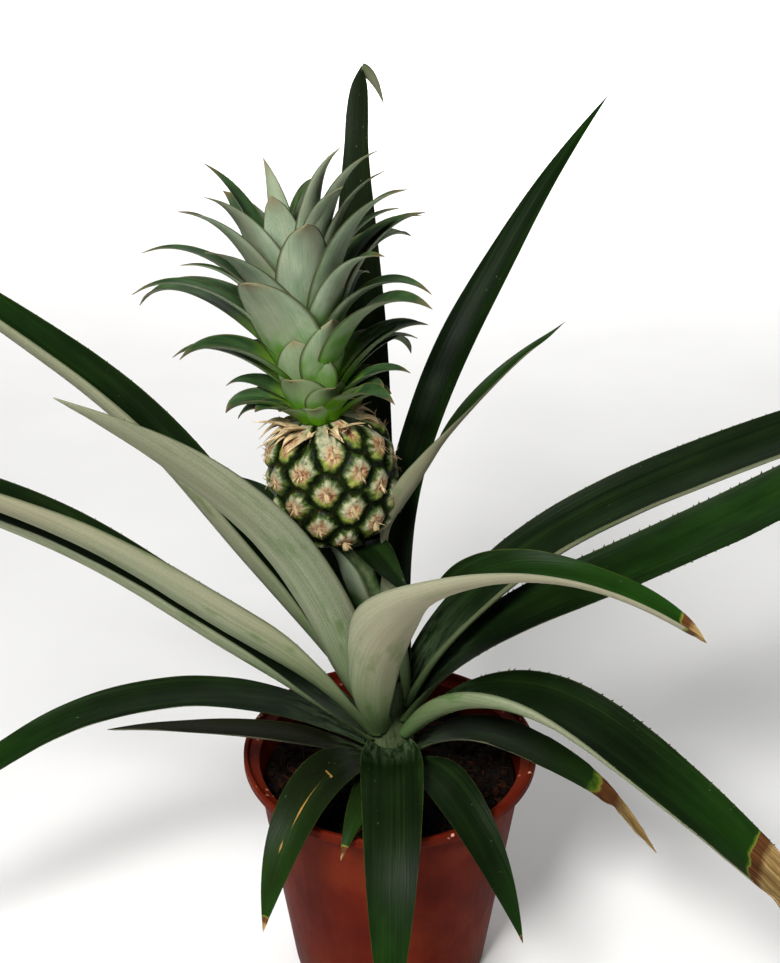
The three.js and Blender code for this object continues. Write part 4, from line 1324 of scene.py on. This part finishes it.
def make_pot():
    """The pot's shell, turned from an outline of (radius, height), with its drain holes cut out."""
    lip_foot = POT_HEIGHT - LIP_HEIGHT
    corner_radius = POT_FOOT_RADIUS - POT_CORNER
    shoulder = (SHOULDER_RADIUS, lip_foot - 1.5 * MM)
    inside_top = (SHOULDER_RADIUS - POT_WALL, lip_foot)
    inside_foot = (POT_FOOT_RADIUS - POT_WALL + 0.2 * MM, POT_FLOOR + POT_CORNER)
    flare = (RIM_RADIUS - LIP_WIDTH - 0.5 * MM, lip_foot + 1.5 * MM)
    outline = [(POT_CENTRE, 0.0)]
    outline += straight((6 * MM, 0.0), (corner_radius, 0.0), 6)
    outline += arc_line((corner_radius, POT_CORNER), POT_CORNER, -90, -8)
    outline += straight((POT_FOOT_RADIUS + 0.15 * MM, 2 * MM), shoulder, 14)
    outline += [shoulder, (RIM_RADIUS - 1.2 * MM, lip_foot - 0.1 * MM)]
    outline += arc_line((RIM_RADIUS - LIP_EDGE, lip_foot + LIP_EDGE), LIP_EDGE, -80, 0)
    outline += arc_line((RIM_RADIUS - LIP_ROLL, POT_HEIGHT - LIP_ROLL), LIP_ROLL, 0, 180, 12)
    outline += [flare, inside_top]
    outline += straight(inside_top, inside_foot, 10)[1:]
    outline += [inside_foot, (inside_foot[0] - POT_CORNER, POT_FLOOR), (POT_CENTRE, POT_FLOOR)]
    radius, level = np.array(outline).T[..., None]
    turn = ring_angles(POT_SIDES)
    # Thin moulded plastic is never quite round: the rim wanders by a few tenths of a millimetre.
    sway = 0.25 * MM * np.sin(2 * turn + 0.6) + 0.15 * MM * np.sin(3 * turn)
    swayed = radius + sway * (level / POT_HEIGHT) ** 2 * (radius > 10 * MM)
    shell = Piece()
    points = rings(np.minimum(swayed, RIM_RADIUS), level, POT_SIDES)
    shell.add(points, ring_faces(len(outline), POT_SIDES))
    pot = shell.make("pot_shell", [POT_LOOK], ["pot"])
    cutters = Piece()
    drain = rings(DRAIN_RADIUS, np.array([[-4], [6]]) * MM, DRAIN_SIDES)
    for angle in ring_angles(DRAIN_HOLES):
        centre = DRAIN_CIRCLE * np.array([math.cos(angle), math.sin(angle), 0])
        cutters.add(drain + centre, ring_faces(2, DRAIN_SIDES))
    cutter = cutters.make("drain_cutter", [POT_LOOK])
    cut = pot.modifiers.new("drain", "BOOLEAN")
    cut.object = cutter
    cut.solver = "EXACT"
    graph = bpy.context.evaluated_depsgraph_get()
    graph.update()
    drilled = bpy.data.meshes.new_from_object(pot.evaluated_get(graph))
    pot.modifiers.clear()
    pot.data = drilled
    bpy.data.objects.remove(cutter)
    drilled.set_sharp_from_angle(angle=SHARP_EDGE)


make_pot()


# ---------------------------------------------------------------- soil
soil_low, soil_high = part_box("potting_soil")
SOIL_TOP = soil_high.z - 0.8 * MM
SOIL_RADIUS = soil_high.x
SOIL_FOOT_RADIUS = POT_FOOT_RADIUS - POT_WALL - 0.4 * MM
CLODS = 620
PALE_GRAINS = 0.008  # share of the clods
PALE_TINT = 2.0
FIBRES = 230
FIBRE_STEPS = 9


def ball(detail):
    """Points and triangles of a round lump."""
    grid = bmesh.new()
    bmesh.ops.create_icosphere(grid, subdivisions=detail, radius=1)
    points = np.array([v.co for v in grid.verts])
    faces = np.array([[v.index for v in f.verts] for f in grid.faces])
    grid.free()
    return points, faces


def add_fibre(piece, line, radius, **values):
    """A thin three-sided strand along a line of points."""
    forward = unit(np.gradient(line, axis=0))
    side = unit(np.cross(forward, [0, 0, 1]) + 1e-9)
    up = np.cross(side, forward)
    turns = ring_angles(3)[:, None]
    taper = np.linspace(1, 0.4, len(line))[:, None, None] * radius
    ring = line[:, None] + taper * (side[:, None] * np.cos(turns) + up[:, None] * np.sin(turns))
    last = (len(line) - 1) * 3
    ends = np.array([[0, 1, 2], [last + 2, last + 1, last]])
    piece.add(ring.reshape(-1, 3), [band_faces(len(line), 3), ends], **values)


def make_soil():
    """The soil's bed, its clods and pale grains, and its fibres."""
    piece = Piece()
    chance = np.random.default_rng(21)
    sides, rows = 180, 60
    reach = SOIL_RADIUS * np.linspace(0.01, 1, rows)[:, None]
    bed = rings(reach, 0, sides)
    sunk = 1.2 * MM * np.clip((reach - 0.9 * SOIL_RADIUS) / (0.1 * SOIL_RADIUS), 0, 1)
    bed[:, 2] = SOIL_TOP + 1.1 * MM * layered_noise(bed / (7 * MM), 4, 2) - np.repeat(sunk, sides)
    wide = np.array([[SOIL_RADIUS], [SOIL_FOOT_RADIUS], [0.01 * SOIL_RADIUS]])
    under = rings(wide, np.array([[SOIL_TOP - 6 * MM], [soil_low.z], [soil_low.z]]), sides)
    faces = [face[:, ::-1] for face in ring_faces(rows + len(wide), sides)]
    piece.add(np.concatenate([bed, under]), faces, tint=0.0)
    lump, lump_faces = ball(2)
    for number in range(CLODS):
        away = SOIL_RADIUS * math.sqrt(chance.uniform(0.02, 0.94))
        angle = chance.uniform(0, 2 * math.pi)
        size = chance.lognormal(0.15, 0.45) * MM
        stretch = chance.uniform(0.6, 1.3, 3) * size
        bent = lump * (1 + 0.35 * layered_noise(lump * 1.7 + number, 2, number)[:, None]) * stretch
        away = min(away, SOIL_RADIUS - 1.6 * size)
        centre = [away * math.cos(angle), away * math.sin(angle), SOIL_TOP + 0.15 * size]
        tint = PALE_TINT if chance.uniform() < PALE_GRAINS else chance.uniform(0, 0.4)
        piece.add(bent + centre, [lump_faces], tint=tint)
    for _ in range(FIBRES):
        away = SOIL_RADIUS * math.sqrt(chance.uniform(0.05, 0.85))
        angle = chance.uniform(0, 2 * math.pi)
        start = np.array([away * math.cos(angle), away * math.sin(angle), SOIL_TOP + 1.2 * MM])
        heading = chance.uniform(0, 2 * math.pi)
        bend = chance.uniform(-2.5, 2.5)
        length = chance.uniform(4, 13) * MM
        steps = np.linspace(0, 1, FIBRE_STEPS)
        course = heading + bend * steps
        run = length / FIBRE_STEPS * np.cumsum([np.cos(course), np.sin(course)], axis=1)
        arch = 1.4 * MM * np.sin(math.pi * steps) * chance.uniform(0.1, 1.0)
        line = np.stack([*run, arch], 1) + start
        outward = np.hypot(line[:, 0], line[:, 1])[:, None]
        line[:, :2] *= np.minimum(1, (SOIL_RADIUS - 1 * MM) / outward)
        add_fibre(piece, line, chance.uniform(0.12, 0.28) * MM, tint=chance.uniform(0.6, 1.3))
    piece.make("soil_bed", [SOIL_LOOK], ["potting_soil"])


make_soil()

# ---------------------------------------------------------------- floor
FLOOR_REACH = 8.0
floor_look = Look("pale_floor")
floor_tone = floor_look.noise(floor_look.position(), 6, 3)
floor_colour = floor_look.ramp(floor_tone, (0.3, "e9e8e6"), (0.7, "efeeec"))
floor_look.put(floor_look.shader.inputs["Base Color"], floor_colour)
floor_look.put(floor_look.shader.inputs["Roughness"], 0.9)
floor_mesh = bpy.data.meshes.new("floor")
floor_corners = [(-1, -1, 0), (1, -1, 0), (1, 1, 0), (-1, 1, 0)]
floor_mesh.from_pydata([np.multiply(FLOOR_REACH, c) for c in floor_corners], [], [(0, 1, 2, 3)])
floor_mesh.materials.append(floor_look.material)
floor = bpy.data.objects.new("floor", floor_mesh)
floor.location.z = -0.5 * MM
bpy.context.scene.collection.objects.link(floor)
